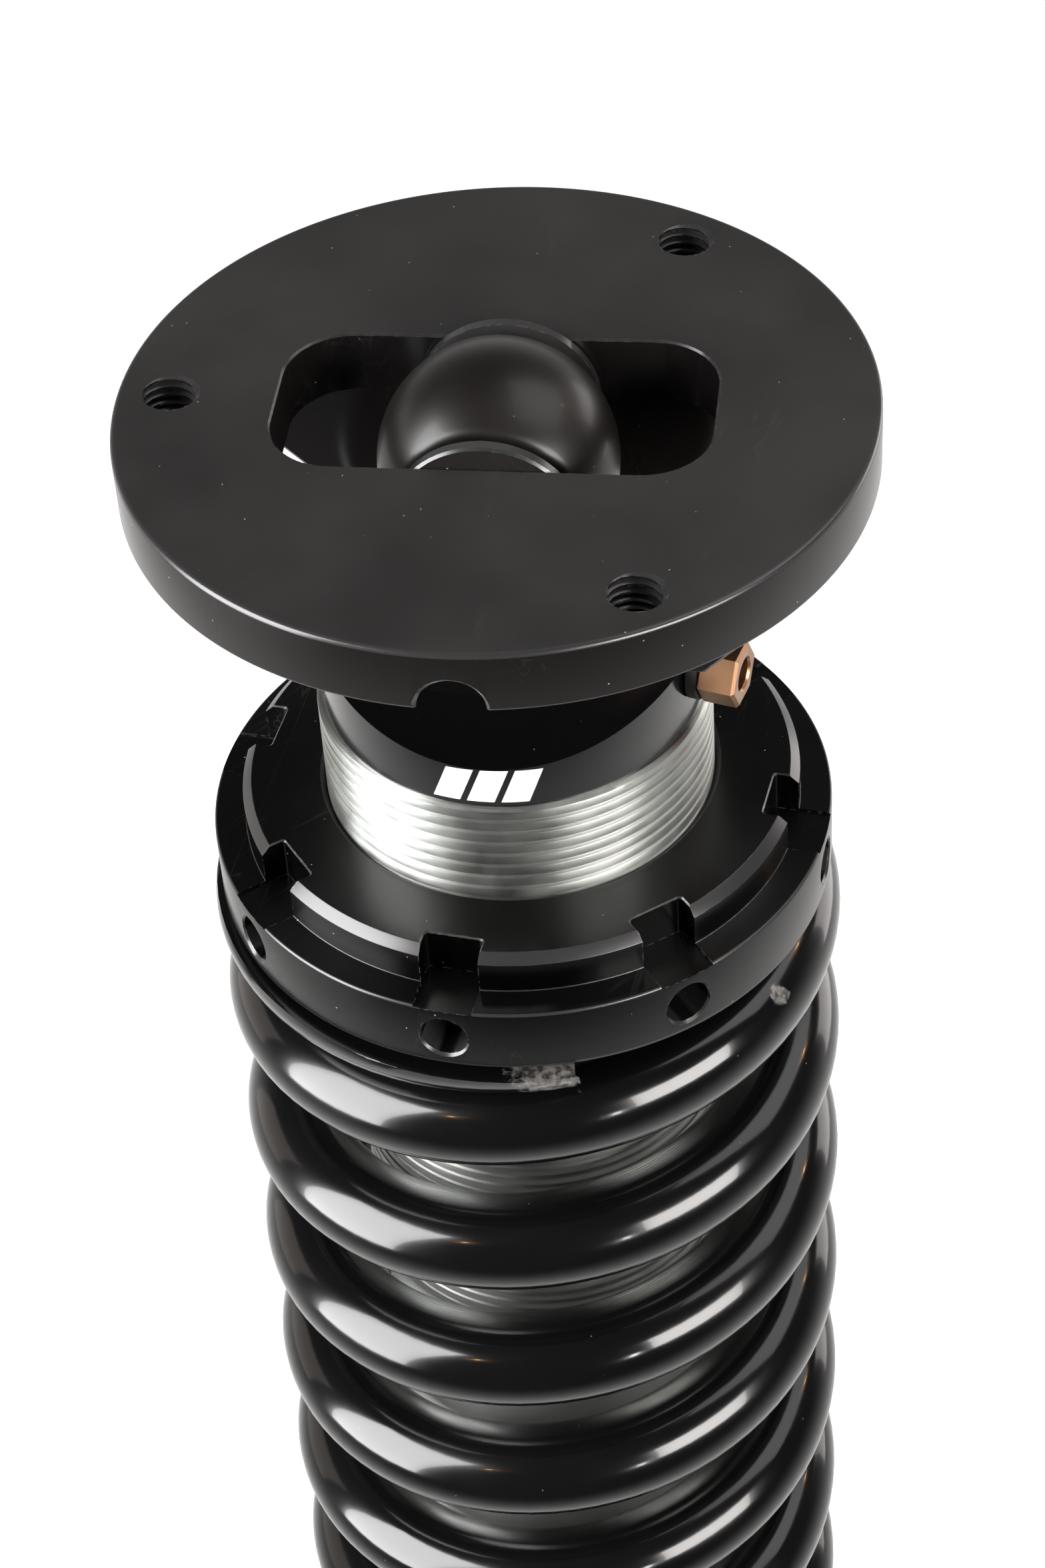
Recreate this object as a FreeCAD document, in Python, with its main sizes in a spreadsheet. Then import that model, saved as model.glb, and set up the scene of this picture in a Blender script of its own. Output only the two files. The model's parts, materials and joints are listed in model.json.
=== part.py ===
import FreeCAD, Part
import math
import os

import Sketcher

# A body-up remote-reservoir coilover for an off-road vehicle, drawn at full droop.
# Millimetres, +Z up.  The origin is the centre of the top plate's upper face, and the
# damper hangs down along -Z.  The cross bolt of the upper eye lies along Y.

Vector = FreeCAD.Vector
Rotation = FreeCAD.Rotation
Placement = FreeCAD.Placement

doc = FreeCAD.newDocument("Coilover")

# ---------------------------------------------------------------- driving dimensions

DIMENSIONS = [
    # top plate with its clevis ears
    ("plate_radius", 61.0), ("plate_thick", 11.0), ("plate_edge", 0.8),
    ("slot_length", 70.0), ("slot_width", 34.5), ("slot_corner", 11.0),
    ("stud_circle", 52.5), ("stud_hole_radius", 4.25),
    ("ear_thick", 14.0), ("ear_half_length", 42.0), ("ear_bottom", -28.0),
    ("head_pocket_radius", 9.5), ("head_pocket_depth", 14.0), ("key_notch_radius", 5.3),
    # cross bolt, M10
    ("bolt_radius", 5.0), ("bolt_hole_radius", 5.25), ("bolt_head_radius", 8.0),
    ("bolt_head_height", 10.0), ("bolt_key_radius", 4.0), ("washer_radius", 8.2),
    ("washer_thick", 2.0), ("nut_flats", 15.9), ("nut_height", 8.4),
    # spherical bearings: the upper one, then the lower one
    ("eye_ball_radius", 19.5), ("eye_half_width", 13.0), ("race_radius", 13.0),
    ("race_half_width", 7.0), ("joint_ball_radius", 11.4), ("joint_ball_half_width", 8.3),
    ("joint_ball_bore", 6.5), ("spacer_bore", 5.05), ("spacer_neck", 8.3),
    ("spacer_flange", 15.0), ("spacer_flange_start", 15.2), ("spacer_end", 17.2),
    ("snap_ring_width", 1.4), ("spacer_gap", 0.1), ("spacer_edge", 0.4), ("spacer_split", 0.2),
    ("snap_ring_inner", 11.6), ("fit_gap", 0.05),
    ("low_eye_z", -472.0), ("low_eye_radius", 24.0), ("low_eye_half_width", 15.0),
    ("low_eye_edge", 1.5),
    ("low_race_radius", 17.0), ("low_race_half_width", 9.0), ("low_ball_radius", 15.0),
    ("low_ball_half_width", 11.0), ("low_ball_bore", 8.0), ("low_spacer_bore", 6.05),
    ("low_spacer_neck", 9.6), ("low_spacer_flange", 11.5), ("low_spacer_flange_start", 17.5),
    ("low_spacer_end", 20.0), ("low_snap_inner", 15.2),
    # eye cap
    ("cap_radius", 32.6), ("cap_bottom", -57.0), ("cap_shoulder", -30.0),
    ("cap_relief_floor", -49.0), ("cap_relief_radius", 72.0), ("cap_blade_half", 15.0),
    ("spigot_radius", 29.9), ("spigot_bottom", -77.0), ("neck_overlap", 4.0),
    ("cap_o_ring_z", -68.0), ("o_ring_thick", 2.6),
    # side port
    ("port_z", -46.0), ("port_angle", -15.0), ("port_hex_flats", 10.0),
    ("port_bore_radius", 2.8), ("port_bore_depth", 6.0), ("port_hex_start", 34.4),
    ("port_hex_end", 41.0), ("port_neck_radius", 4.2), ("port_seat_radius", 5.6),
    ("port_hole_start", 24.0), ("port_neck_start", 25.5), ("gallery_radius", 2.0),
    ("gallery_circle", 25.0), ("passage_radius", 1.6),
    # damper tube
    ("thread_radius", 33.4), ("thread_bottom", -190.0), ("tube_radius", 32.4),
    ("tube_bore", 30.0), ("tube_bottom", -285.0),
    # seal head
    ("head_top", -257.0), ("head_bottom", -283.0), ("head_radius", 29.95),
    ("head_bush_inner", 11.05), ("head_bush_outer", 12.6), ("head_bush_length", 12.0),
    ("shaft_seal_outer", 16.0), ("shaft_seal_height", 5.0), ("wiper_height", 4.5),
    ("head_o_ring_z", -268.0),
    # shaft and piston
    ("shaft_radius", 11.0), ("shaft_shoulder", -236.0), ("shaft_stub_radius", 6.0),
    ("shaft_top", -205.0), ("shaft_bottom", -446.0), ("shaft_thread_radius", 8.0),
    ("thread_fit", 0.02),
    ("piston_radius", 29.4), ("piston_height", 16.0), ("piston_bottom", -230.0),
    ("band_height", 9.0), ("band_thick", 1.8), ("port_hole_radius", 3.6),
    ("port_hole_circle", 19.0), ("piston_nut_flats", 17.0), ("piston_nut_height", 6.4),
    ("piston_washer_radius", 12.0), ("piston_washer_thick", 2.8), ("shim_thick", 0.8),
    ("shim_step", 4.0), ("compression_shim_radius", 26.0), ("rebound_shim_radius", 25.0),
    # adjuster nut and slip ring
    ("flange_radius", 53.5), ("flange_bottom", -97.0), ("flange_top", -84.0),
    ("boss_radius", 48.0), ("boss_top", -76.5), ("nut_bore", 33.47),
    ("castle_width", 10.0), ("castle_inner", 43.5), ("castle_phase", -8.0),
    ("pin_hole_radius", 4.0), ("pin_hole_depth", 9.0), ("pin_hole_z", -90.5),
    ("nut_edge", 0.8), ("boss_edge", 1.6),
    ("castle_depth", 0.4), ("seat_radius", 50.0), ("seat_bore", 33.8),
    # coil spring
    ("wire_radius", 8.5), ("coil_radius", 46.6), ("coil_pitch", 33.15),
    ("spring_top", -98.5), ("spring_length", 330.0), ("tip_angle", 290.0),
    ("tip_above", 1.6), ("closed_pitch", 16.0), ("ramp_start", 0.8), ("ramp_end", 1.05),
    # lower perch, bump stop and lower eye
    ("perch_radius", 54.0), ("perch_thick", 6.0), ("perch_spigot_radius", 37.4),
    ("perch_spigot_height", 9.0), ("perch_hub_radius", 22.0), ("perch_bore", 17.0),
    ("perch_floor", 5.0),
    ("bump_radius", 21.0), ("bump_bore", 11.3), ("bump_bottom", -424.0),
    ("bump_height", 21.0),
    ("collar_radius", 17.0), ("collar_top", -424.0), ("collar_flange_radius", 24.0),
    ("collar_flange_thick", 5.0),
]


class Size:
    """A number together with the spreadsheet expression that gives it."""

    def __init__(self, value, text):
        self.value = value
        self.text = text

    @staticmethod
    def of(other):
        return other if isinstance(other, Size) else Size(float(other), repr(float(other)))

    def join(self, other, sign, value):
        return Size(value, "(" + self.text + " " + sign + " " + other.text + ")")

    def __add__(self, other):
        other = Size.of(other)
        return self.join(other, "+", self.value + other.value)

    def __sub__(self, other):
        other = Size.of(other)
        return self.join(other, "-", self.value - other.value)

    def __mul__(self, other):
        other = Size.of(other)
        return self.join(other, "*", self.value * other.value)

    def __truediv__(self, other):
        other = Size.of(other)
        return self.join(other, "/", self.value / other.value)

    def __neg__(self):
        return Size.of(0) - self


class Sizes:
    """The driving dimensions, as attributes bound to the spreadsheet."""


sheet = doc.addObject("Spreadsheet::Sheet", "Sizes")
d = Sizes()
for row, (alias, value) in enumerate(DIMENSIONS, start=1):
    sheet.set("A" + str(row), alias)
    sheet.set("B" + str(row), str(value))
    sheet.setAlias("B" + str(row), alias)
    setattr(d, alias, Size(value, "Sizes." + alias))
doc.recompute()

bolt_z = -d.plate_thick
ear_inner = d.slot_width / 2
ear_outer = ear_inner + d.ear_thick
spring_bottom = d.spring_top - d.spring_length

# Turns a shape drawn along Z so that it lies along Y.
ALONG_Y = Rotation(Vector(1, 0, 0), -90)

STUD_COUNT = 3
CASTLE_COUNT = 8
PISTON_PORT_COUNT = 6
SHIM_COUNT = 4
POINTS_PER_TURN = 20

nodes = {}


# ---------------------------------------------------------------- drawing helpers

def bind(item, prop, size):
    item.setExpression(prop, Size.of(size).text)


def place(item, x=0.0, y=0.0, z=0.0, rotation=None):
    """Moves an object, with each coordinate bound to the spreadsheet."""
    item.Placement = Placement(Vector(0, 0, 0), rotation or Rotation())
    for axis, size in (("x", x), ("y", y), ("z", z)):
        bind(item, "Placement.Base." + axis, size)


def node(item, label):
    """Names a finished sub-part."""
    item.Label = label
    nodes[label] = item
    return item


def origin_plane(body, role):
    return [item for item in body.Origin.OriginFeatures if item.Role == role][0]


def new_body(name):
    return doc.addObject("PartDesign::Body", name)


def new_sketch(body, name, role="XY_Plane", offset=0.0):
    sketch = body.newObject("Sketcher::SketchObject", name)
    sketch.AttachmentSupport = [(origin_plane(body, role), "")]
    sketch.MapMode = "FlatFace"
    bind(sketch, "AttachmentOffset.Base.z", offset)
    return sketch


def fix_point(sketch, geometry, corner, x, y):
    """Holds one end of a line at coordinates that the spreadsheet gives."""
    for kind, size in (("DistanceX", x), ("DistanceY", y)):
        size = Size.of(size)
        index = sketch.addConstraint(
            Sketcher.Constraint(kind, -1, 1, geometry, corner, size.value))
        bind(sketch, "Constraints[" + str(index) + "]", size)


def polygon(sketch, points):
    """Draws a closed outline through points, each a pair of sizes."""
    points = [(Size.of(x), Size.of(y)) for x, y in points]
    for index, (x, y) in enumerate(points):
        following = points[(index + 1) % len(points)]
        sketch.addGeometry(Part.LineSegment(
            Vector(x.value, y.value, 0), Vector(following[0].value, following[1].value, 0)))
    for index in range(len(points)):
        sketch.addConstraint(Sketcher.Constraint(
            "Coincident", index, 2, (index + 1) % len(points), 1))
    for index, (x, y) in enumerate(points):
        fix_point(sketch, index, 1, x, y)


def circle(sketch, radius, x=0.0, y=0.0):
    x, y = Size.of(x), Size.of(y)
    index = sketch.addGeometry(
        Part.Circle(Vector(x.value, y.value, 0), Vector(0, 0, 1), radius.value))
    fix_point(sketch, index, 3, x, y)
    limit = sketch.addConstraint(Sketcher.Constraint("Radius", index, radius.value))
    bind(sketch, "Constraints[" + str(limit) + "]", radius)


def turned_body(name, outline):
    """Revolves an outline of (radius, height) pairs about the Z axis."""
    body = new_body(name)
    sketch = new_sketch(body, name + "Outline", "XZ_Plane")
    polygon(sketch, outline)
    turn = body.newObject("PartDesign::Revolution", name + "Turn")
    turn.Profile = sketch
    turn.ReferenceAxis = (sketch, ["V_Axis"])
    turn.Angle = 360.0
    return body


def turned(label, outline, along_y=False, z=0.0):
    body = turned_body(label.title().replace("_", ""), outline)
    place(body, z=z, rotation=ALONG_Y if along_y else None)
    return node(body, label)


def mirrored_pair(label, outline, z):
    """Two equal turned pieces along Y, one on each side of the XZ plane."""
    name = label.title().replace("_", "")
    one = turned_body(name + "One", outline)
    place(one, z=z, rotation=ALONG_Y)
    other = doc.addObject("Part::Mirroring", name + "Other")
    other.Source = one
    other.Normal = Vector(0, 1, 0)
    both = doc.addObject("Part::Compound", name)
    both.Links = [one, other]
    return node(both, label)


def ring_outline(inner, outer, bottom, top):
    return [(inner, bottom), (outer, bottom), (outer, top), (inner, top)]


def pad(body, sketch, length, reverse=False):
    feature = body.newObject("PartDesign::Pad", sketch.Name + "Pad")
    feature.Profile = sketch
    feature.Reversed = reverse
    bind(feature, "Length", length)
    return feature


def pocket(body, sketch, length, reverse=False, both_ways=False):
    """Cuts a sketch into a body, and makes sure that it took material away."""
    doc.recompute()
    before = body.Shape.Volume
    feature = body.newObject("PartDesign::Pocket", sketch.Name + "Pocket")
    feature.Profile = sketch
    feature.Midplane = both_ways
    feature.Reversed = reverse
    bind(feature, "Length", length)
    doc.recompute()
    if body.Shape.Volume > before - 0.1:
        raise RuntimeError("pocket cuts nothing: " + sketch.Name)
    return feature


def polar_pattern(body, feature, count):
    pattern = body.newObject("PartDesign::PolarPattern", feature.Name + "Pattern")
    pattern.Originals = [feature]
    pattern.Axis = (feature.Profile[0], ["N_Axis"])
    pattern.Angle = 360.0
    pattern.Occurrences = count
    body.Tip = pattern
    doc.recompute()
    return pattern


def cylinder(name, radius, length, z=0.0, y=0.0, x=0.0, rotation=None):
    item = doc.addObject("Part::Cylinder", name)
    bind(item, "Radius", radius)
    bind(item, "Height", length)
    place(item, x=x, y=y, z=z, rotation=rotation)
    return item


def box(name, length, width, height, x, y, z):
    item = doc.addObject("Part::Box", name)
    bind(item, "Length", length)
    bind(item, "Width", width)
    bind(item, "Height", height)
    place(item, x=x, y=y, z=z)
    return item


def cut(name, base, *tools):
    for index, tool in enumerate(tools):
        result = doc.addObject("Part::Cut", name + "Cut" + str(index))
        result.Base = base
        result.Tool = tool
        base = result
    return base


def fuse(name, *items):
    result = doc.addObject("Part::MultiFuse", name)
    result.Shapes = list(items)
    return result


def prism(name, flats, length, z=0.0, y=0.0, x=0.0, rotation=None):
    """A hexagonal prism, given its width across flats."""
    item = doc.addObject("Part::Prism", name)
    item.Polygon = 6
    bind(item, "Circumradius", flats / math.sqrt(3))
    bind(item, "Height", length)
    place(item, x=x, y=y, z=z, rotation=rotation)
    return item


# ---------------------------------------------------------------- top mount

def make_top_plate():
    """A round plate with a long slot for the eye, and two ears that hold the cross bolt."""
    body = new_body("TopPlate")
    outline = new_sketch(body, "PlateOutline", "XZ_Plane")
    edge = d.plate_edge
    polygon(outline, [(0, -d.plate_thick), (d.plate_radius - edge, -d.plate_thick),
                      (d.plate_radius, edge - d.plate_thick), (d.plate_radius, -edge),
                      (d.plate_radius - edge, 0), (0, 0)])
    disc = body.newObject("PartDesign::Revolution", "PlateDisc")
    disc.Profile = outline
    disc.ReferenceAxis = (outline, ["V_Axis"])
    disc.Angle = 360.0

    side = new_sketch(body, "EarSide", "XZ_Plane")
    half, bottom, bevel = d.ear_half_length, d.ear_bottom, d.ear_thick / 2
    polygon(side, [(-half, bolt_z + 1), (-half, bottom + bevel), (-half + bevel, bottom),
                   (half - bevel, bottom), (half, bottom + bevel), (half, bolt_z + 1)])
    ears = pad(body, side, ear_outer * 2)
    ears.Midplane = True

    channel = new_sketch(body, "EarChannel", "XY_Plane", bolt_z)
    polygon(channel, [(-half - 1, -ear_inner), (half + 1, -ear_inner),
                      (half + 1, ear_inner), (-half - 1, ear_inner)])
    pocket(body, channel, bolt_z - bottom + 1)

    slot = new_sketch(body, "EyeSlot", "XY_Plane")
    rounded_rectangle(slot, d.slot_length / 2, d.slot_width / 2, d.slot_corner)
    pocket(body, slot, d.plate_thick)

    stud = new_sketch(body, "StudHole", "XY_Plane")
    circle(stud, d.stud_hole_radius, -d.stud_circle, 0)
    stud_hole = pocket(body, stud, d.plate_thick)
    polar_pattern(body, stud_hole, STUD_COUNT)

    axis = new_sketch(body, "BoltHole", "XZ_Plane")
    circle(axis, d.bolt_hole_radius, 0, bolt_z)
    pocket(body, axis, d.plate_radius * 2, both_ways=True)

    notch = new_sketch(body, "KeyNotch", "XZ_Plane")
    circle(notch, d.key_notch_radius, 0, bolt_z)
    pocket(body, notch, d.plate_radius * 2.2, both_ways=True)
    return body


def rounded_rectangle(sketch, half_x, half_y, corner):
    """A closed outline of four lines and four tangent arcs, centred on the origin."""
    x, y, r = half_x.value, half_y.value, corner.value
    lines = [((-x + r, -y), (x - r, -y)), ((x, -y + r), (x, y - r)),
             ((x - r, y), (-x + r, y)), ((-x, y - r), (-x, -y + r))]
    centres = [(x - r, -y + r, 270), (x - r, y - r, 0), (-x + r, y - r, 90), (-x + r, -y + r, 180)]
    for start, end in lines:
        sketch.addGeometry(Part.LineSegment(Vector(*start, 0), Vector(*end, 0)))
    for cx, cy, start in centres:
        ring = Part.Circle(Vector(cx, cy, 0), Vector(0, 0, 1), r)
        sketch.addGeometry(Part.ArcOfCircle(ring, math.radians(start), math.radians(start + 90)))
    for index in range(4):
        sketch.addConstraint(Sketcher.Constraint("Tangent", index, 2, 4 + index, 1))
        sketch.addConstraint(
            Sketcher.Constraint("Tangent", 4 + index, 2, (index + 1) % 4, 1))
    sketch.addConstraint(Sketcher.Constraint("Horizontal", 0))
    sketch.addConstraint(Sketcher.Constraint("Vertical", 1))
    for index in range(5, 8):
        sketch.addConstraint(Sketcher.Constraint("Equal", 4, index))
    limits = [("Radius", (4,), corner), ("DistanceY", (-1, 1, 2, 1), half_y),
              ("DistanceX", (-1, 1, 1, 1), half_x), ("DistanceX", (-1, 1, 3, 1), -half_x),
              ("DistanceY", (-1, 1, 0, 1), -half_y)]
    for kind, place_of, size in limits:
        index = sketch.addConstraint(Sketcher.Constraint(kind, *place_of, size.value))
        bind(sketch, "Constraints[" + str(index) + "]", size)


def make_top_mount():
    plate = make_top_plate()
    pockets = [
        cylinder(side + "HeadPocket", d.head_pocket_radius, d.head_pocket_depth,
                 z=bolt_z, y=start, rotation=ALONG_Y)
        for side, start in (("Front", -ear_outer - d.head_pocket_depth), ("Rear", ear_outer))]
    node(cut("TopPlateShape", plate, *pockets), "top_plate")

    head_y = -ear_outer - d.washer_thick - d.bolt_head_height
    length = ear_outer * 2 + d.washer_thick * 2 + d.nut_height + 2
    head = cylinder("BoltHead", d.bolt_head_radius, d.bolt_head_height,
                    z=bolt_z, y=head_y, rotation=ALONG_Y)
    shank = cylinder("BoltShank", d.bolt_radius, length + d.bolt_head_height,
                     z=bolt_z, y=head_y, rotation=ALONG_Y)
    socket = prism("BoltSocket", d.bolt_key_radius * 2, d.bolt_head_height / 2,
                   z=bolt_z, y=head_y, rotation=ALONG_Y)
    node(cut("CrossBolt", fuse("BoltSolid", head, shank), socket), "cross_bolt")

    inner, outer = ear_outer, ear_outer + d.washer_thick
    mirrored_pair("cross_bolt_washers",
                  ring_outline(d.bolt_hole_radius, d.washer_radius, inner, outer), bolt_z)

    hexagon = prism("BoltNutHex", d.nut_flats, d.nut_height,
                    z=bolt_z, y=outer, rotation=ALONG_Y)
    bore = cylinder("BoltNutBore", d.bolt_radius + d.thread_fit, d.nut_height,
                    z=bolt_z, y=outer, rotation=ALONG_Y)
    node(cut("BoltNut", hexagon, bore), "cross_bolt_nut")


# ---------------------------------------------------------------- spherical bearings

def sphere_band(name, radius, half_width, bore, z):
    """A ball cut flat at both sides and bored along Y."""
    ball = doc.addObject("Part::Sphere", name + "Sphere")
    bind(ball, "Radius", radius)
    place(ball, z=z)
    slab = box(name + "Slab", radius * 2.2, half_width * 2, radius * 2.2,
               -radius * 1.1, -half_width, z - radius * 1.1)
    band = doc.addObject("Part::Common", name + "Band")
    band.Base = ball
    band.Tool = slab
    hole = cylinder(name + "Hole", bore, half_width * 2.2, z=z, y=-half_width * 1.1,
                    rotation=ALONG_Y)
    return cut(name, band, hole)


def make_bearing(prefix, z, race_radius, race_half, ball_radius, ball_half, ball_bore, snap_inner):
    """Race, ball and snap rings of one spherical bearing, with its axis along Y."""
    name = prefix.title()
    drum = cylinder(name + "RaceDrum", race_radius, race_half * 2, z=z, y=-race_half,
                    rotation=ALONG_Y)
    hollow = doc.addObject("Part::Sphere", name + "RaceHollow")
    bind(hollow, "Radius", ball_radius + d.fit_gap)
    place(hollow, z=z)
    node(cut(name + "Race", drum, hollow), prefix + "_bearing_race")
    node(sphere_band(name + "Ball", ball_radius, ball_half, ball_bore, z),
         prefix + "_bearing_ball")
    mirrored_pair(prefix + "_snap_rings",
                  ring_outline(snap_inner, race_radius, race_half,
                               race_half + d.snap_ring_width), z)


def make_spacers(label, z, bore, neck_in_ball, ball_half, neck, flange, flange_start, end):
    """Top-hat spacers that sit in the ball's bore from both sides."""
    step = ball_half + d.spacer_gap
    edge = d.spacer_edge
    mirrored_pair(label, [
        (bore, d.spacer_split), (neck_in_ball, d.spacer_split), (neck_in_ball, step),
        (neck, step), (neck, flange_start - 1.5), (flange, flange_start), (flange, end - edge),
        (flange - edge, end), (bore, end)], z)


# ---------------------------------------------------------------- damper body

def make_eye_cap():
    """The cap that closes the tube's top: a band, two relieved sides and the round eye."""
    fit = d.fit_gap
    drum = turned_body("CapDrum", [
        (0, d.spigot_bottom), (d.spigot_radius - 1, d.spigot_bottom),
        (d.spigot_radius - fit, d.spigot_bottom + 1),
        (d.spigot_radius - fit, d.cap_o_ring_z - d.o_ring_thick),
        (d.spigot_radius - d.o_ring_thick, d.cap_o_ring_z - d.o_ring_thick),
        (d.spigot_radius - d.o_ring_thick, d.cap_o_ring_z),
        (d.spigot_radius - fit, d.cap_o_ring_z),
        (d.spigot_radius - fit, d.cap_bottom), (d.cap_radius, d.cap_bottom),
        (d.cap_radius, d.cap_shoulder - 2), (d.cap_radius - 2, d.cap_shoulder),
        (0, d.cap_shoulder)])
    relief_z = d.cap_relief_floor + d.cap_relief_radius
    reliefs = [
        cylinder(side + "Relief", d.cap_relief_radius, d.cap_radius, z=relief_z, y=start,
                 rotation=ALONG_Y)
        for side, start in (("Front", -d.cap_blade_half - d.cap_radius),
                            ("Rear", d.cap_blade_half))]
    shoulder = cut("CapShoulder", drum, *reliefs)

    eye = doc.addObject("Part::Sphere", "EyeSphere")
    bind(eye, "Radius", d.eye_ball_radius)
    place(eye, z=bolt_z)
    foot = d.cap_shoulder - d.neck_overlap
    neck = cylinder("EyeNeck", d.eye_ball_radius * 0.8, bolt_z - foot, z=foot)
    slab = box("EyeSlab", d.eye_ball_radius * 3, d.eye_half_width * 2, d.eye_ball_radius * 4,
               -d.eye_ball_radius * 1.5, -d.eye_half_width, foot)
    blade = doc.addObject("Part::Common", "EyeBlade")
    blade.Base = fuse("EyeSolid", eye, neck)
    blade.Tool = slab
    bore = cylinder("EyeBore", d.race_radius, d.eye_ball_radius * 2, z=bolt_z,
                    y=-d.eye_ball_radius, rotation=ALONG_Y)
    whole = fuse("CapSolid", shoulder, blade)

    outward = Rotation(Vector(0, 1, 0), 90)
    spin = Rotation(Vector(0, 0, 1), d.port_angle.value)
    direction = spin.multVec(Vector(1, 0, 0))
    seat = cylinder("PortSeatHole", d.port_neck_radius, d.cap_radius - d.port_hole_start,
                    z=d.port_z, x=d.port_hole_start * direction.x,
                    y=d.port_hole_start * direction.y,
                    rotation=spin * outward)
    gallery = cylinder("Gallery", d.gallery_radius, d.port_z - d.spigot_bottom + 1,
                       z=d.spigot_bottom - 1, x=d.gallery_circle * direction.x,
                       y=d.gallery_circle * direction.y)
    node(cut("EyeCap", whole, bore, seat, gallery), "eye_cap")


def torus_ring(label, radius, thick, z):
    """A round-section seal ring about Z, squeezed into its groove."""
    ring = doc.addObject("Part::Torus", label.title().replace("_", ""))
    bind(ring, "Radius1", radius)
    bind(ring, "Radius2", thick / 2)
    place(ring, z=z)
    return node(ring, label)


def make_port():
    """Hexagonal hose fitting in the cap's side, on a seal ring."""
    outward = Rotation(Vector(0, 1, 0), 90)
    spin = Rotation(Vector(0, 0, 1), d.port_angle.value)
    direction = spin.multVec(Vector(1, 0, 0))
    turn = spin * outward

    def along(name, radius, start, end):
        return cylinder(name, radius, end - start, z=d.port_z, x=start * direction.x,
                        y=start * direction.y, rotation=turn)

    hexagon = prism("PortHex", d.port_hex_flats, d.port_hex_end - d.port_hex_start,
                    z=d.port_z, x=d.port_hex_start * direction.x,
                    y=d.port_hex_start * direction.y, rotation=turn)
    neck = along("PortNeck", d.port_neck_radius - 0.1, d.port_neck_start, d.port_hex_start)
    start = d.port_hex_end - d.port_bore_depth
    bore = along("PortBore", d.port_bore_radius, start, d.port_hex_end)
    passage = along("PortPassage", d.passage_radius, d.port_neck_start, d.port_hex_end)
    node(cut("PortFitting", fuse("PortSolid", hexagon, neck), bore, passage), "port_fitting")

    outer = along("PortSeatOuter", d.port_seat_radius, d.cap_radius + 0.1, d.port_hex_start)
    inner = along("PortSeatInner", d.port_neck_radius, d.tube_bore, d.port_hex_start + 1)
    node(cut("PortSeat", outer, inner), "port_seal")


def make_damper_body():
    make_eye_cap()
    make_bearing("upper", bolt_z, d.race_radius, d.race_half_width, d.joint_ball_radius,
                 d.joint_ball_half_width, d.joint_ball_bore, d.snap_ring_inner)
    make_spacers("upper_spacers", bolt_z, d.spacer_bore, d.joint_ball_bore - d.fit_gap,
                 d.joint_ball_half_width, d.spacer_neck, d.spacer_flange,
                 d.spacer_flange_start, d.spacer_end)
    make_port()
    groove = d.o_ring_thick
    torus_ring("cap_o_ring", d.spigot_radius - groove / 2, groove * 0.98,
               d.cap_o_ring_z - groove / 2)
    turned("damper_tube", [
        (d.tube_bore, d.tube_bottom), (d.tube_radius - 1, d.tube_bottom),
        (d.tube_radius, d.tube_bottom + 1), (d.tube_radius, d.thread_bottom),
        (d.thread_radius, d.thread_bottom + 1), (d.thread_radius, d.cap_bottom - 1),
        (d.thread_radius - 0.8, d.cap_bottom), (d.tube_bore, d.cap_bottom)])
    make_seal_head()


def make_seal_head():
    """Bearing carrier at the tube's open end, with its bush, seal, wiper and ring."""
    top, bottom, outer = d.head_top, d.head_bottom, d.head_radius
    groove = d.o_ring_thick
    seal_top = bottom + d.wiper_height + d.shaft_seal_height
    turned("seal_head", [
        (d.head_bush_outer, top), (d.head_bush_outer, top - d.head_bush_length),
        (d.head_bush_inner + 0.3, top - d.head_bush_length), (d.head_bush_inner + 0.3, seal_top),
        (d.shaft_seal_outer, seal_top), (d.shaft_seal_outer, bottom), (outer, bottom),
        (outer, d.head_o_ring_z - groove), (outer - groove, d.head_o_ring_z - groove),
        (outer - groove, d.head_o_ring_z), (outer, d.head_o_ring_z), (outer, top)])
    turned("shaft_bush", ring_outline(d.head_bush_inner, d.head_bush_outer,
                                      top - d.head_bush_length, top))
    turned("shaft_seal", ring_outline(d.head_bush_inner, d.shaft_seal_outer,
                                      bottom + d.wiper_height, seal_top))
    turned("shaft_wiper", [
        (d.head_bush_inner, bottom - 1.5), (d.head_bush_inner + 1.2, bottom - 1.5),
        (d.shaft_seal_outer, bottom), (d.shaft_seal_outer, bottom + d.wiper_height),
        (d.head_bush_inner, bottom + d.wiper_height)])
    torus_ring("seal_head_o_ring", outer - groove / 2, groove * 0.98,
               d.head_o_ring_z - groove / 2)
    turned("seal_head_retainer", ring_outline(d.tube_bore - 3, d.tube_bore - 0.05,
                                              d.tube_bottom + 0.2, bottom))


# ---------------------------------------------------------------- adjuster and spring

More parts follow.
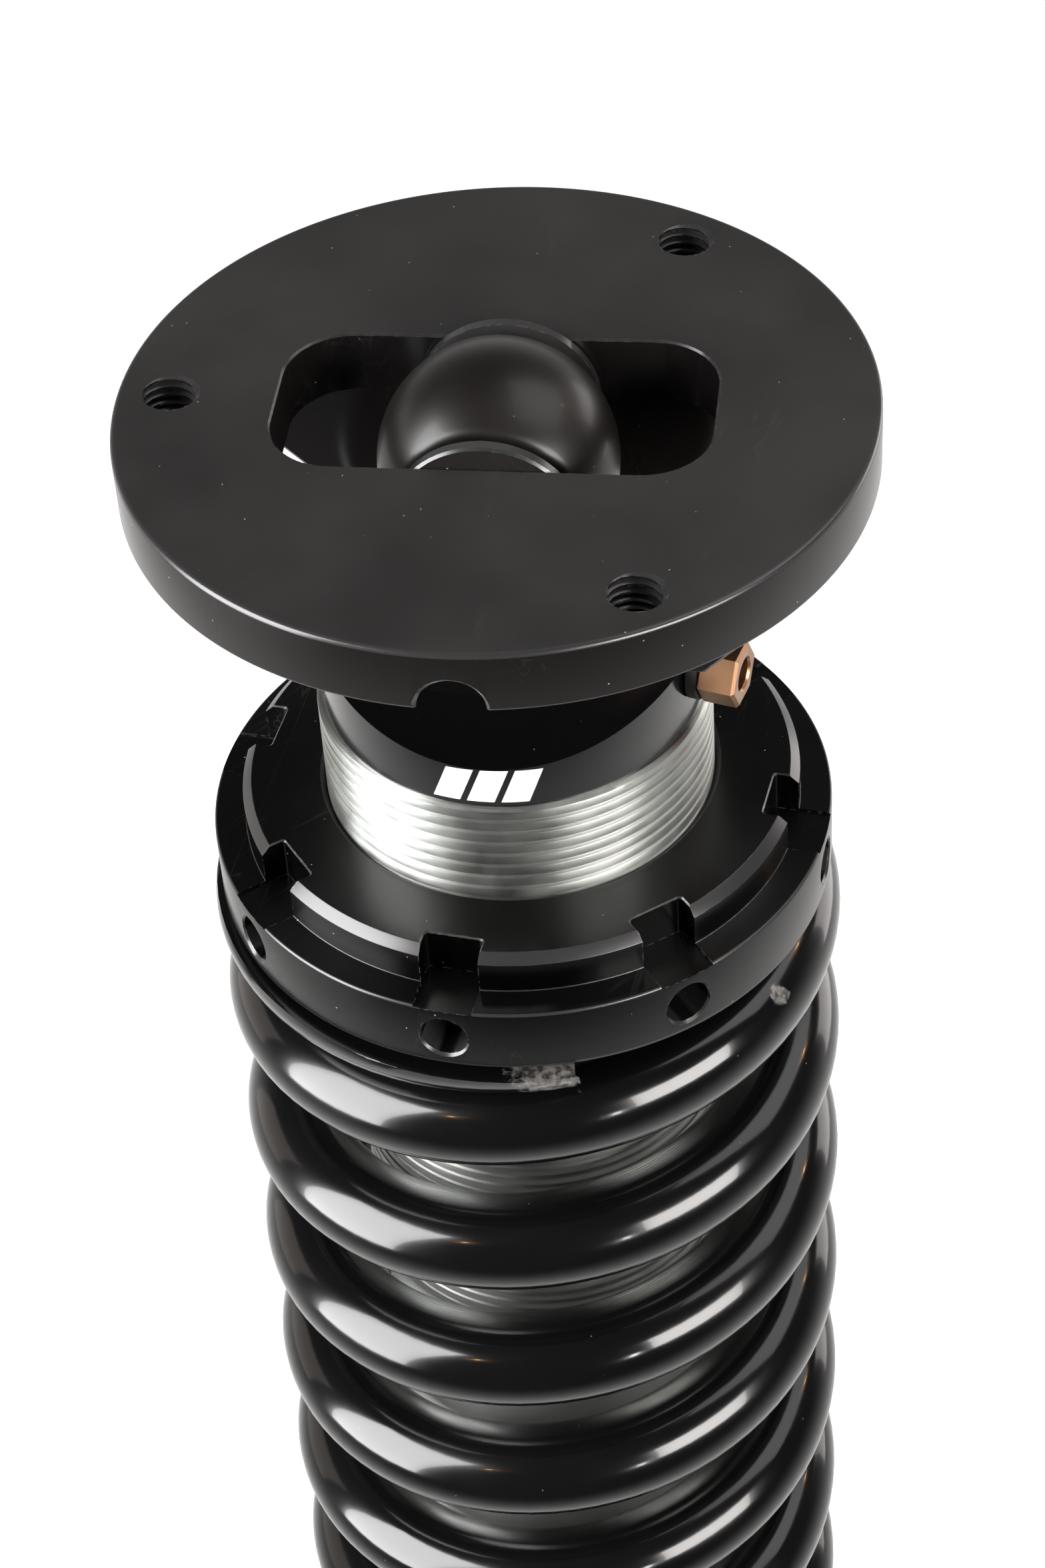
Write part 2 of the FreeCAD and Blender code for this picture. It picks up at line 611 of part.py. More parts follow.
def make_adjuster_nut():
    """Flanged nut with castle slots in its boss and spanner holes in its rim."""
    body = new_body("AdjusterNut")
    outline = new_sketch(body, "NutOutline", "XZ_Plane")
    edge, bevel = d.nut_edge, d.boss_edge
    polygon(outline, [
        (d.nut_bore, d.flange_bottom), (d.flange_radius - edge * 1.5, d.flange_bottom),
        (d.flange_radius, d.flange_bottom + edge * 1.5), (d.flange_radius, d.flange_top - edge),
        (d.flange_radius - edge, d.flange_top), (d.boss_radius, d.flange_top),
        (d.boss_radius, d.boss_top - bevel), (d.boss_radius - bevel, d.boss_top),
        (d.nut_bore + 1, d.boss_top), (d.nut_bore, d.boss_top - 1)])
    turn = body.newObject("PartDesign::Revolution", "NutTurn")
    turn.Profile = outline
    turn.ReferenceAxis = (outline, ["V_Axis"])
    turn.Angle = 360.0

    castle = new_sketch(body, "CastleSlot", "XY_Plane", d.boss_top)
    half = d.castle_width / 2
    reach = d.flange_radius + 2
    polygon(castle, [(d.castle_inner, -half), (reach, -half), (reach, half),
                     (d.castle_inner, half)])
    castle_cut = pocket(body, castle, d.boss_top - d.flange_top + d.castle_depth)
    polar_pattern(body, castle_cut, CASTLE_COUNT)

    pin = new_sketch(body, "SpannerHole", "YZ_Plane", d.flange_radius + 1)
    circle(pin, d.pin_hole_radius, 0, d.pin_hole_z)
    pin_cut = pocket(body, pin, d.pin_hole_depth + 1)
    pattern = body.newObject("PartDesign::PolarPattern", "SpannerHolePattern")
    pattern.Originals = [pin_cut]
    pattern.Axis = (castle, ["N_Axis"])
    pattern.Angle = 360.0
    pattern.Occurrences = CASTLE_COUNT
    body.Tip = pattern
    place(body, rotation=Rotation(Vector(0, 0, 1), d.castle_phase.value))
    return node(body, "adjuster_nut")


def spring_height(turns, total):
    """Depth of the wire's centre below its top tip, after that many turns of the total."""
    closed, pitch = d.closed_pitch.value, d.coil_pitch.value
    ramp_start, ramp_end = d.ramp_start.value, d.ramp_end.value

    def drop(t):
        if t < ramp_start:
            return closed * t
        if t < ramp_end:
            share = (t - ramp_start) / (ramp_end - ramp_start)
            return closed * t + (pitch - closed) * share * (t - ramp_start) / 2
        middle = (ramp_start + ramp_end) / 2
        return closed * middle + pitch * (t - middle)

    half = total / 2
    if turns <= half:
        return drop(turns)
    return 2 * drop(half) - drop(total - turns)


def make_coil_spring():
    """Round wire wound right-handed, with both ends closed and ground flat."""
    top = d.spring_top.value
    bottom = spring_bottom.value
    tip_above = d.tip_above.value
    ramp_end = d.ramp_end.value
    # Both ends are alike, so half the drop is one closed end and half of the active turns.
    half_drop = (top - bottom) / 2 + tip_above
    active = (half_drop - spring_height(ramp_end, 4 * ramp_end)) / d.coil_pitch.value
    total = 2 * (ramp_end + active)
    radius = d.coil_radius.value
    steps = int(total * POINTS_PER_TURN)
    points = []
    for index in range(steps + 1):
        turns = total * index / steps
        angle = math.radians(d.tip_angle.value) - 2 * math.pi * turns
        height = top + tip_above - spring_height(turns, total)
        points.append(Vector(radius * math.cos(angle), radius * math.sin(angle), height))
    path = Part.BSplineCurve()
    path.interpolate(points)
    wire = Part.Wire([path.toShape()])
    start, tangent = path.value(path.FirstParameter), path.tangent(path.FirstParameter)[0]
    section = Part.Wire([Part.makeCircle(d.wire_radius.value, start, tangent)])
    coil = wire.makePipeShell([section], True, True)
    if coil.Volume < 0:
        coil.reverse()
    volume = math.pi * d.wire_radius.value ** 2 * wire.Length
    if abs(coil.Volume - volume) > 0.02 * volume:
        raise RuntimeError("the coil's volume is not its section times its length")
    slab = Part.makeCylinder(radius * 2, top - bottom, Vector(0, 0, bottom))
    spring = doc.addObject("Part::Feature", "CoilSpring")
    spring.Shape = coil.common(slab)
    spring.Placement = Placement()
    return node(spring, "coil_spring")


def make_spring_set():
    make_adjuster_nut()
    turned("spring_seat_ring", ring_outline(d.seat_bore, d.seat_radius, d.spring_top,
                                            d.flange_bottom))
    make_coil_spring()


# ---------------------------------------------------------------- shaft side

def make_piston_set():
    base, height = d.piston_bottom, d.piston_height
    top = base + height
    band_low = base + (height - d.band_height) / 2
    band_high = band_low + d.band_height
    stub = d.shaft_stub_radius + d.thread_fit
    outer = d.piston_radius
    body = turned_body("Piston", [
        (stub, base), (outer - 1, base), (outer, base + 1), (outer, band_low),
        (outer - d.band_thick, band_low), (outer - d.band_thick, band_high),
        (outer, band_high), (outer, top - 1), (outer - 1, top), (stub, top)])
    hole = new_sketch(body, "PistonPort", "XY_Plane", top)
    circle(hole, d.port_hole_radius, d.port_hole_circle, 0)
    polar_pattern(body, pocket(body, hole, height), PISTON_PORT_COUNT)
    node(body, "piston")
    turned("piston_band", ring_outline(outer - d.band_thick, d.tube_bore - 0.06,
                                       band_low, band_high))

    def shim_stack(label, start, direction, largest):
        """Four thin discs, each smaller than the one before."""
        outline = []
        for index in range(SHIM_COUNT):
            reach = largest - d.shim_step * index
            outline.append((reach, start + d.shim_thick * (direction * index)))
            outline.append((reach, start + d.shim_thick * (direction * (index + 1))))
        end = start + d.shim_thick * (direction * SHIM_COUNT)
        turned(label, [(stub, start)] + outline + [(stub, end)])

    shim_stack("compression_shims", base, -1, d.compression_shim_radius)
    shim_stack("rebound_shims", top, 1, d.rebound_shim_radius)
    washer_top = d.shaft_shoulder + d.piston_washer_thick
    turned("piston_washer",
           ring_outline(stub, d.piston_washer_radius, d.shaft_shoulder, washer_top))
    nut_start = top + d.shim_thick * SHIM_COUNT
    hexagon = prism("PistonNutHex", d.piston_nut_flats, d.piston_nut_height, z=nut_start)
    bore = cylinder("PistonNutBore", stub, d.piston_nut_height, z=nut_start)
    node(cut("PistonNut", hexagon, bore), "piston_nut")


def make_shaft():
    shaft, stub = d.shaft_radius, d.shaft_stub_radius
    thread = d.shaft_thread_radius
    turned("damper_shaft", [
        (0, d.shaft_bottom), (thread - 1, d.shaft_bottom), (thread, d.shaft_bottom + 1),
        (thread, d.collar_top), (shaft, d.collar_top), (shaft, d.shaft_shoulder),
        (stub, d.shaft_shoulder), (stub, d.shaft_top - 1), (stub - 1, d.shaft_top),
        (0, d.shaft_top)])


def make_lower_end():
    """Perch, bump stop and lower eye, which all stay with the shaft."""
    seat = spring_bottom
    low = seat - d.perch_thick
    hub = d.perch_hub_radius
    turned("lower_perch", [
        (d.perch_bore + 0.05, low - 4), (hub, low - 4), (hub + 4, low), (d.perch_radius - 1, low),
        (d.perch_radius, low + 1), (d.perch_radius, seat - 1), (d.perch_radius - 1, seat),
        (d.perch_spigot_radius, seat), (d.perch_spigot_radius, seat + d.perch_spigot_height - 2),
        (d.perch_spigot_radius - 2, seat + d.perch_spigot_height),
        (d.perch_spigot_radius - 5, seat + d.perch_spigot_height),
        (d.perch_spigot_radius - 5, low + d.perch_floor), (d.perch_bore + 0.05, low + d.perch_floor)])
    base, high = d.bump_bottom, d.bump_bottom + d.bump_height
    radius = d.bump_radius
    turned("bump_stop", [
        (d.bump_bore, base), (radius - 1, base), (radius, base + 2), (radius, base + 6),
        (radius - 3, base + 9), (radius - 2, base + 12), (radius - 2, base + 14),
        (radius - 5, high - 1.5), (radius - 6, high), (d.bump_bore, high)])

    low_end = low - 4
    flange_low = low_end - d.collar_flange_thick
    stem = turned_body("EyeStem", [
        (0, d.low_eye_z), (d.collar_radius, d.low_eye_z), (d.collar_radius, flange_low - 3),
        (d.collar_flange_radius, flange_low), (d.collar_flange_radius, low_end),
        (d.collar_radius, low_end), (d.collar_radius, d.collar_top - 1),
        (d.collar_radius - 1, d.collar_top), (0, d.collar_top)])
    head = cylinder("LowEyeHead", d.low_eye_radius, d.low_eye_half_width * 2, z=d.low_eye_z,
                    y=-d.low_eye_half_width, rotation=ALONG_Y)
    rounded = doc.addObject("Part::Chamfer", "LowEyeHeadEdges")
    rounded.Base = head
    bevel = d.low_eye_edge.value
    rounded.Edges = [(1, bevel, bevel), (3, bevel, bevel)]
    bore = cylinder("LowEyeBore", d.low_race_radius, d.low_eye_half_width * 2.4,
                    z=d.low_eye_z, y=-d.low_eye_half_width * 1.2, rotation=ALONG_Y)
    socket = cylinder("ShaftSocket", d.shaft_thread_radius + d.thread_fit,
                      d.collar_top - d.shaft_bottom + 0.2, z=d.shaft_bottom - 0.2)
    whole = fuse("LowEyeSolid", stem, rounded)
    node(cut("LowEye", whole, bore, socket), "lower_eye")
    make_bearing("lower", d.low_eye_z, d.low_race_radius, d.low_race_half_width,
                 d.low_ball_radius, d.low_ball_half_width, d.low_ball_bore, d.low_snap_inner)
    make_spacers("lower_spacers", d.low_eye_z, d.low_spacer_bore, d.low_ball_bore - d.fit_gap,
                 d.low_ball_half_width, d.low_spacer_neck, d.low_spacer_flange,
                 d.low_spacer_flange_start, d.low_spacer_end)


# ---------------------------------------------------------------- build, check, write

make_top_mount()
make_damper_body()
make_spring_set()
make_piston_set()
make_shaft()
make_lower_end()
doc.recompute()

problems = [item.Name + ": " + ", ".join(item.State)
            for item in doc.Objects if {"Invalid", "Error"} & set(item.State)]
for label, item in nodes.items():
    shape = item.Shape
    if shape.isNull() or not shape.isValid() or not shape.Solids:
        problems.append(label + ": bad shape")
if problems:
    raise RuntimeError("; ".join(problems))

os.makedirs("parts", exist_ok=True)
for label, item in nodes.items():
    item.Shape.exportStep("parts/" + label + ".step")
    box_of = item.Shape.BoundBox
    print(label, "solids", len(item.Shape.Solids), "volume", round(item.Shape.Volume),
          "z", round(box_of.ZMin, 1), round(box_of.ZMax, 1))
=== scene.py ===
import json
import math
import random

import bmesh
import bpy
from mathutils import Matrix, Vector


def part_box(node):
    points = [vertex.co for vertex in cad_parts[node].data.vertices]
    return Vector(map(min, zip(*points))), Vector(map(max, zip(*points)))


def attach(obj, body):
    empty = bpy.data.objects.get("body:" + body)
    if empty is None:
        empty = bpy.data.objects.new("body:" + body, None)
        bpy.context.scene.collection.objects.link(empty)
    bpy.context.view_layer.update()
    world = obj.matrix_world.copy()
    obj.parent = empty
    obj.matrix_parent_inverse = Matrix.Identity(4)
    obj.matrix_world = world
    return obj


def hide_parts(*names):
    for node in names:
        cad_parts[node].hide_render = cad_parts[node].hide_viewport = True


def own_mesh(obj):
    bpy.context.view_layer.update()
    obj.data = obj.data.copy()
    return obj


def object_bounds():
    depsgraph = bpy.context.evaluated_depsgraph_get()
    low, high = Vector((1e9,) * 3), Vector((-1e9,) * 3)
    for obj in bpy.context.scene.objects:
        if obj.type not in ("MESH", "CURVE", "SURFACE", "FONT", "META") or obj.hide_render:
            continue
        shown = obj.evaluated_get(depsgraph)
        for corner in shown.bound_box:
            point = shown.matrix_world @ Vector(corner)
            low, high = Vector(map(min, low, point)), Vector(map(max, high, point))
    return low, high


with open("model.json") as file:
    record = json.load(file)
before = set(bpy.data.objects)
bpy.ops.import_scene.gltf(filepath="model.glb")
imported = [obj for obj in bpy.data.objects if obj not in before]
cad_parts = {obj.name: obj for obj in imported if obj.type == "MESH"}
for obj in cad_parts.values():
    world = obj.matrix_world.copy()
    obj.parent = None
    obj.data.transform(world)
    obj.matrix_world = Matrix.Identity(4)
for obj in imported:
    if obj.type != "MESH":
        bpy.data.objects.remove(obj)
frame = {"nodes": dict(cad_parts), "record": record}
cad_low, cad_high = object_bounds()

# Shapes are drawn in millimetres in the row frame, and turned into metres as meshes.
MM = 0.001
AROUND = 192

SPRING_LENGTH = 330.0
PLATE_THICK = 11.0
FLANGE_RADIUS = 53.5


def span(node):
    """Lowest and highest corner of a CAD node, in millimetres."""
    low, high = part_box(node)
    return low / MM, high / MM


plate_low, plate_high = span("top_plate")
bolt_low, bolt_high = span("cross_bolt")
ball_low, ball_high = span("upper_bearing_ball")
port_low, port_high = span("port_fitting")
tube_low, tube_high = span("damper_tube")
nut_low, nut_high = span("adjuster_nut")
cap_foot = span("eye_cap")[0].z
spring_top = span("spring_seat_ring")[0].z

spring_bottom = spring_top - SPRING_LENGTH
plate_radius = plate_high.x
tube_radius = tube_high.x
bolt_z = (ball_low.z + ball_high.z) / 2
port_z = (port_low.z + port_high.z) / 2


# ------------------------------------------------------------------ mesh helpers

def clean(item, sharp=30.0):
    """Merges doubled points, turns faces outward and shades gentle edges smooth."""
    doubled, thin = 0.004, 0.001
    shape = bmesh.new()
    shape.from_mesh(item.data)
    bmesh.ops.remove_doubles(shape, verts=shape.verts, dist=doubled * MM)
    bmesh.ops.dissolve_degenerate(shape, edges=shape.edges, dist=thin * MM)
    bmesh.ops.recalc_face_normals(shape, faces=shape.faces)
    shape.to_mesh(item.data)
    shape.free()
    item.data.shade_smooth()
    item.data.set_sharp_from_angle(angle=math.radians(sharp))
    return item


def piece(name, points, faces, sharp):
    mesh = bpy.data.meshes.new(name)
    mesh.from_pydata([Vector(p) * MM for p in points], [], faces)
    item = bpy.data.objects.new(name, mesh)
    bpy.context.scene.collection.objects.link(item)
    return clean(item, sharp)


def skin(name, columns, sharp=30.0):
    """Joins columns of equally many points, each column a closed loop."""
    count = len(columns[0])
    points = [point for column in columns for point in column]
    faces = []
    for k in range(len(columns) - 1):
        for i in range(count):
            j = (i + 1) % count
            faces.append((k * count + i, (k + 1) * count + i,
                          (k + 1) * count + j, k * count + j))
    return piece(name, points, faces, sharp)


def loft(name, rings, sharp=30.0):
    """A skin over rings of equally many points, with both end rings capped."""
    count = len(rings[0])
    points = [point for ring in rings for point in ring]
    faces = [tuple(reversed(range(count))),
             tuple(range((len(rings) - 1) * count, len(rings) * count))]
    for k in range(len(rings) - 1):
        for i in range(count):
            j = (i + 1) % count
            faces.append((k * count + i, k * count + j,
                          (k + 1) * count + j, (k + 1) * count + i))
    return piece(name, points, faces, sharp)


def lathe(name, outline, along_y=False, z=0.0, around=AROUND):
    """Turns a closed outline of (radius, height) points about Z, or about Y at height z."""
    columns = []
    for k in range(around + 1):
        angle = 2 * math.pi * (k % around) / around
        x, y = math.cos(angle), math.sin(angle)
        if along_y:
            columns.append([(r * x, h, z - r * y) for r, h in outline])
        else:
            columns.append([(r * x, r * y, h + z) for r, h in outline])
    return skin(name, columns)


def soften(outline, radius=0.3, steps=4):
    """Rounds the corners of a closed outline; a third number is a corner's own radius."""
    result = []
    for index, corner in enumerate(outline):
        point = Vector(corner[:2])
        before = Vector(outline[index - 1][:2]) - point
        after = Vector(outline[(index + 1) % len(outline)][:2]) - point
        size = corner[2] if len(corner) > 2 else radius
        turn = before.angle(after, 0.0)
        if size == 0 or turn < 0.01 or turn > math.pi - 0.01:
            result.append(tuple(point))
            continue
        reach = min(size / math.tan(turn / 2), 0.48 * before.length, 0.48 * after.length)
        start = point + before.normalized() * reach
        end = point + after.normalized() * reach
        for step in range(steps + 1):
            s = step / steps
            result.append(tuple(start * (1 - s) ** 2 + point * 2 * s * (1 - s) + end * s ** 2))
    return result


def rounded_rectangle(half_x, half_y, corner):
    """Points round a rectangle with round corners, centred on the axis."""
    steps = 16
    points = []
    for quarter, (sx, sy) in enumerate(((1, 1), (-1, 1), (-1, -1), (1, -1))):
        for step in range(steps + 1):
            angle = math.radians(90 * (quarter + step / steps))
            points.append((sx * (half_x - corner) + corner * math.cos(angle),
                           sy * (half_y - corner) + corner * math.sin(angle)))
    return points


def hexagon(radius):
    """The six corners of a hexagon, as (across, up) from its middle."""
    return [(radius * math.cos(math.radians(60 * corner)),
             radius * math.sin(math.radians(60 * corner))) for corner in range(6)]


def boolean(item, tool, how):
    step = item.modifiers.new("step", "BOOLEAN")
    step.object = tool
    step.operation = how
    step.solver = "EXACT"
    graph = bpy.context.evaluated_depsgraph_get()
    made = bpy.data.meshes.new_from_object(item.evaluated_get(graph))
    item.modifiers.clear()
    item.data = made
    bpy.data.objects.remove(tool)


def cut(item, *tools):
    for tool in tools:
        boolean(item, tool, "DIFFERENCE")
    return clean(item)


def fuse(item, *tools):
    for tool in tools:
        boolean(item, tool, "UNION")
    return clean(item)


def turn_about_z(item, degrees):
    item.data.transform(Matrix.Rotation(math.radians(degrees), 4, "Z"))
    return item


def shift(item, x=0.0, y=0.0, z=0.0):
    item.data.transform(Matrix.Translation(Vector((x, y, z)) * MM))
    return item


def thread_column(profile, pitch, low, high, end_radius, share):
    """One column of a right-hand thread, share of a turn round it.

    The profile lists (share of a pitch, radius). The thread runs out steeply at both ends.
    """
    run_out_slope = 2.5
    angle = 2 * math.pi * share
    x, y = math.cos(angle), math.sin(angle)
    column = []
    for turn in range(-1, int((high - low) / pitch) + 2):
        for part, radius in profile:
            z = high - (turn + part - share) * pitch
            run_out = end_radius + max(min(high - z, z - low), 0.0) * run_out_slope
            r = min(radius, run_out)
            if z >= high or z <= low:
                r = end_radius
            column.append((r * x, r * y, min(max(z, low), high)))
    return column


# ------------------------------------------------------------------ materials

def scaled(colour, factor):
    return tuple(factor * c for c in colour)


class Look:
    """A material built node by node around one Principled shader. Colours are linear."""

    def __init__(self, name, **sockets):
        self.material = bpy.data.materials.new(name)
        self.material.use_nodes = True
        self.tree = self.material.node_tree
        self.shader = self.tree.nodes["Principled BSDF"]
        self.coords = self.add("ShaderNodeTexCoord")
        self.place = self.coords.outputs["Object"]
        for socket, value in sockets.items():
            self.put(socket.replace("_", " "), value)

    def add(self, kind, settings=None, **inputs):
        """A node; an input is named by its label, or by i and its number."""
        made = self.tree.nodes.new(kind)
        for key, value in (settings or {}).items():
            setattr(made, key, value)
        for key, value in inputs.items():
            number = key[1:]
            label = int(number) if number.isdigit() else key.replace("_", " ")
            self.join(value, made.inputs[label])
        return made

    def join(self, value, target):
        if isinstance(value, bpy.types.NodeSocket):
            self.tree.links.new(value, target)
        else:
            target.default_value = value

    def put(self, socket, value):
        self.join(value, self.shader.inputs[socket])

    def maths(self, operation, a, b):
        return self.add("ShaderNodeMath", {"operation": operation}, i0=a, i1=b).outputs[0]

    def times(self, a, b):
        return self.maths("MULTIPLY", a, b)

    def noise(self, scale, detail=3.0, where=None):
        return self.add("ShaderNodeTexNoise", Vector=where or self.place, Scale=scale,
                        Detail=detail).outputs[0]

    def remap(self, value, low, high, to_low=0.0, to_high=1.0):
        return self.add("ShaderNodeMapRange", Value=value, From_Min=low, From_Max=high,
                        To_Min=to_low, To_Max=to_high).outputs[0]

    def mix(self, share, a, b):
        """Blends two colours, each a socket or three numbers."""
        a, b = (c + (1.0,) if isinstance(c, tuple) else c for c in (a, b))
        return self.add("ShaderNodeMix", {"data_type": "RGBA"}, i0=share, i6=a, i7=b).outputs[2]

    def blend(self, share, a, b):
        """Blends two plain values."""
        return self.add("ShaderNodeMix", i0=share, i2=a, i3=b).outputs[0]

    def specks(self, scale, size):
        """Sparse dots: 1 within size of a cell's centre, in about a quarter of the cells."""
        cells = self.add("ShaderNodeTexVoronoi", Vector=self.place, Scale=scale)
        dots = self.remap(cells.outputs["Distance"], size, size * 0.5)
        chosen = self.add("ShaderNodeSeparateColor", Color=cells.outputs["Color"]).outputs[0]
        return self.times(dots, self.maths("GREATER_THAN", chosen, 0.72))

    def speckled(self, base, scale, size, amount, speck):
        """A colour with sparse light specks on it."""
        return self.mix(self.times(self.specks(scale, size), amount), base, speck)

    def scratches(self, scale, width):
        """Patches of fine hairs in two directions."""
        total = None
        for x, y, z in ((1.0, 0.03, 1.0), (0.05, 1.0, 0.6)):
            bent = self.add("ShaderNodeVectorRotate", {"rotation_type": "EULER_XYZ"},
                            Vector=self.place, Rotation=(0.4 * x, 0.3, 0.7 + y)).outputs[0]
            squeezed = self.add("ShaderNodeMapping", Vector=bent, Scale=(x, y, z)).outputs[0]
            field = self.noise(scale, 1.0, squeezed)
            middle = self.maths("ABSOLUTE", self.maths("SUBTRACT", field, 0.5), 0.0)
            hair = self.remap(middle, width, 0.0)
            total = hair if total is None else self.maths("MAXIMUM", total, hair)
        patches = self.remap(self.noise(35.0), 0.5, 0.68)
        return self.times(total, patches)

    def wear(self, radius):
        """1 along edges, broken up by noise."""
        rounded = self.add("ShaderNodeBevel", {"samples": 4}, Radius=radius).outputs[0]
        flat = self.add("ShaderNodeNewGeometry").outputs["Normal"]
        facing = self.add("ShaderNodeVectorMath", {"operation": "DOT_PRODUCT"},
                          i0=rounded, i1=flat).outputs["Value"]
        edge = self.remap(self.maths("SUBTRACT", 1.0, facing), 0.02, 0.12)
        broken = self.remap(self.noise(900.0, 4.0), 0.5, 0.62)
        return self.times(edge, broken)

    def rings(self, scale):
        """Lathe marks: noise that changes only with the radius and the height."""
        split = self.add("ShaderNodeSeparateXYZ", Vector=self.place)
        flat = self.add("ShaderNodeCombineXYZ", X=split.outputs[0], Y=split.outputs[1])
        radius = self.add("ShaderNodeVectorMath", {"operation": "LENGTH"},
                          i0=flat.outputs[0]).outputs["Value"]
        where = self.add("ShaderNodeCombineXYZ", X=radius, Z=split.outputs[2]).outputs[0]
        return self.noise(scale, 2.0, where)

    def facing_z(self, low, high):
        """1 on faces square to the Z axis, 0 on the sides."""
        split = self.add("ShaderNodeSeparateXYZ", Vector=self.coords.outputs["Normal"])
        return self.remap(self.maths("ABSOLUTE", split.outputs[2], 0.0), low, high)

    def turned_grain(self, amount):
        """Highlights spread across the lathe marks, which run round the Z axis."""
        quarter_turn = 0.25
        tangent = self.add("ShaderNodeTangent", {"direction_type": "RADIAL", "axis": "Z"})
        self.put("Tangent", tangent.outputs[0])
        self.put("Anisotropic", amount)
        self.put("Anisotropic Rotation", quarter_turn)

    def bump(self, height, distance, strength):
        """Adds the relief, its distance in metres, and gives the finished material."""
        made = self.add("ShaderNodeBump", Strength=strength, Distance=distance, Height=height)
        self.put("Normal", made.outputs[0])
        return self.material


def anodised(name, tone, rough, side_rough=0.2, marks=False):
    """Black anodised aluminium: satin faces, glossier turned sides, painted shade on the sides and a
    painted highlight on the edges.
    """
    look = Look(name)
    grain = look.noise(2600.0, 2.0)
    cloud = look.noise(28.0, 3.0)
    flat = look.facing_z(0.85, 0.97)
    edge = look.times(look.facing_z(0.12, 0.35), look.maths("SUBTRACT", 1.0, flat))
    face = look.mix(look.remap(cloud, 0.35, 0.65), scaled((0.85, 0.81, 0.8), tone),
                    scaled((1.3, 1.24, 1.22), tone))
    # Painted shade: sides and walls get a much darker copy of the tone than the faces square to Z.
    base = look.mix(flat, scaled((0.32, 0.28, 0.27), tone), face)
    # Painted highlight: chamfers and rounded edges, found by their slope, get a lighter grey colour.
    base = look.mix(look.times(edge, 0.8), base, (0.1, 0.1, 0.102))
    hairs = look.scratches(260.0, 0.01)
    base = look.mix(look.times(hairs, 0.1), base, (0.16, 0.155, 0.15))
    worn = look.wear(0.00022)
    base = look.mix(worn, base, (0.34, 0.33, 0.32))
    look.put("Base Color", look.speckled(base, 380.0, 0.06, 0.8, (0.5, 0.5, 0.48)))
    satin = look.remap(cloud, 0.3, 0.7, rough - 0.03, rough + 0.05)
    turned = look.remap(cloud, 0.3, 0.7, side_rough - 0.02, side_rough + 0.04)
    look.put("Roughness", look.blend(edge, look.blend(flat, turned, satin), 0.26))
    look.put("Metallic", look.maths("MAXIMUM", look.times(worn, 0.9), look.times(edge, 0.7)))
    spread = 0.8 if marks else look.blend(flat, 0.4, 0.0)
    look.turned_grain(look.blend(edge, spread, 0.0))
    if marks:
        height = look.maths("ADD", look.rings(3200.0), look.times(grain, 0.3))
        return look.bump(height, 0.00002, 0.3)
    return look.bump(grain, 0.00001, 0.2)


def gloss_paint(name, tone, rough, satin_above=None):
    """Deep gloss black with faint orange peel, brownish satin above a height if one is given."""
    look = Look(name, Coat_Roughness=0.06)
    satin = 0.0
    if satin_above is not None:
        height = look.add("ShaderNodeSeparateXYZ", Vector=look.place).outputs[2]
        satin = look.remap(height, satin_above * MM - 0.002, satin_above * MM)
    gloss = look.mix(look.noise(30.0), scaled((0.7, 0.7, 0.75), tone),
                     scaled((1.0, 1.0, 1.1), tone))
    brownish = look.mix(look.remap(look.noise(70.0, 4.0), 0.35, 0.65),
                        (0.007, 0.0056, 0.005), (0.013, 0.011, 0.01))
    base = look.mix(satin, gloss, brownish)
    look.put("Base Color", look.speckled(base, 420.0, 0.07, 0.6, (0.4, 0.4, 0.4)))
    shine = look.remap(look.noise(50.0), 0.3, 0.7, rough, rough + 0.05)
    look.put("Roughness", look.blend(satin, shine, 0.36))
    look.put("Coat Weight", look.blend(satin, 0.6, 0.06))
    return look.bump(look.noise(420.0, 2.0), 0.00003, 0.08)


def spring_paint(chips):
    """Glossy powder coat, chipped to grey primer round each (place, reach) of chips."""
    look = Look("spring_black", Coat_Weight=0.35, Coat_Roughness=0.05)
    base = look.mix(look.noise(22.0), (0.002, 0.002, 0.0022), (0.0042, 0.0042, 0.0046))
    chipped = None
    for middle, reach in chips:
        gap = look.add("ShaderNodeVectorMath", {"operation": "DISTANCE"}, i0=look.place,
                       i1=middle * MM).outputs["Value"]
        ragged = look.maths("ADD", gap, look.times(look.noise(700.0, 4.0), reach * MM))
        spot = look.remap(ragged, reach * MM * 1.35, reach * MM * 1.15)
        chipped = spot if chipped is None else look.maths("MAXIMUM", chipped, spot)
    grey = look.mix(look.remap(look.noise(900.0, 4.0), 0.38, 0.62),
                    (0.03, 0.028, 0.026), (0.22, 0.21, 0.2))
    base = look.speckled(base, 300.0, 0.05, 0.35, (0.4, 0.4, 0.4))
    look.put("Base Color", look.mix(chipped, base, grey))
    shine = look.remap(look.noise(60.0), 0.3, 0.7, 0.13, 0.2)
    look.put("Roughness", look.maths("MAXIMUM", shine, look.times(chipped, 0.45)))
    height = look.maths("ADD", look.times(look.noise(240.0, 2.0), 0.25),
                        look.times(chipped, look.noise(1200.0, 3.0)))
    return look.bump(height, 0.00012, 0.25)


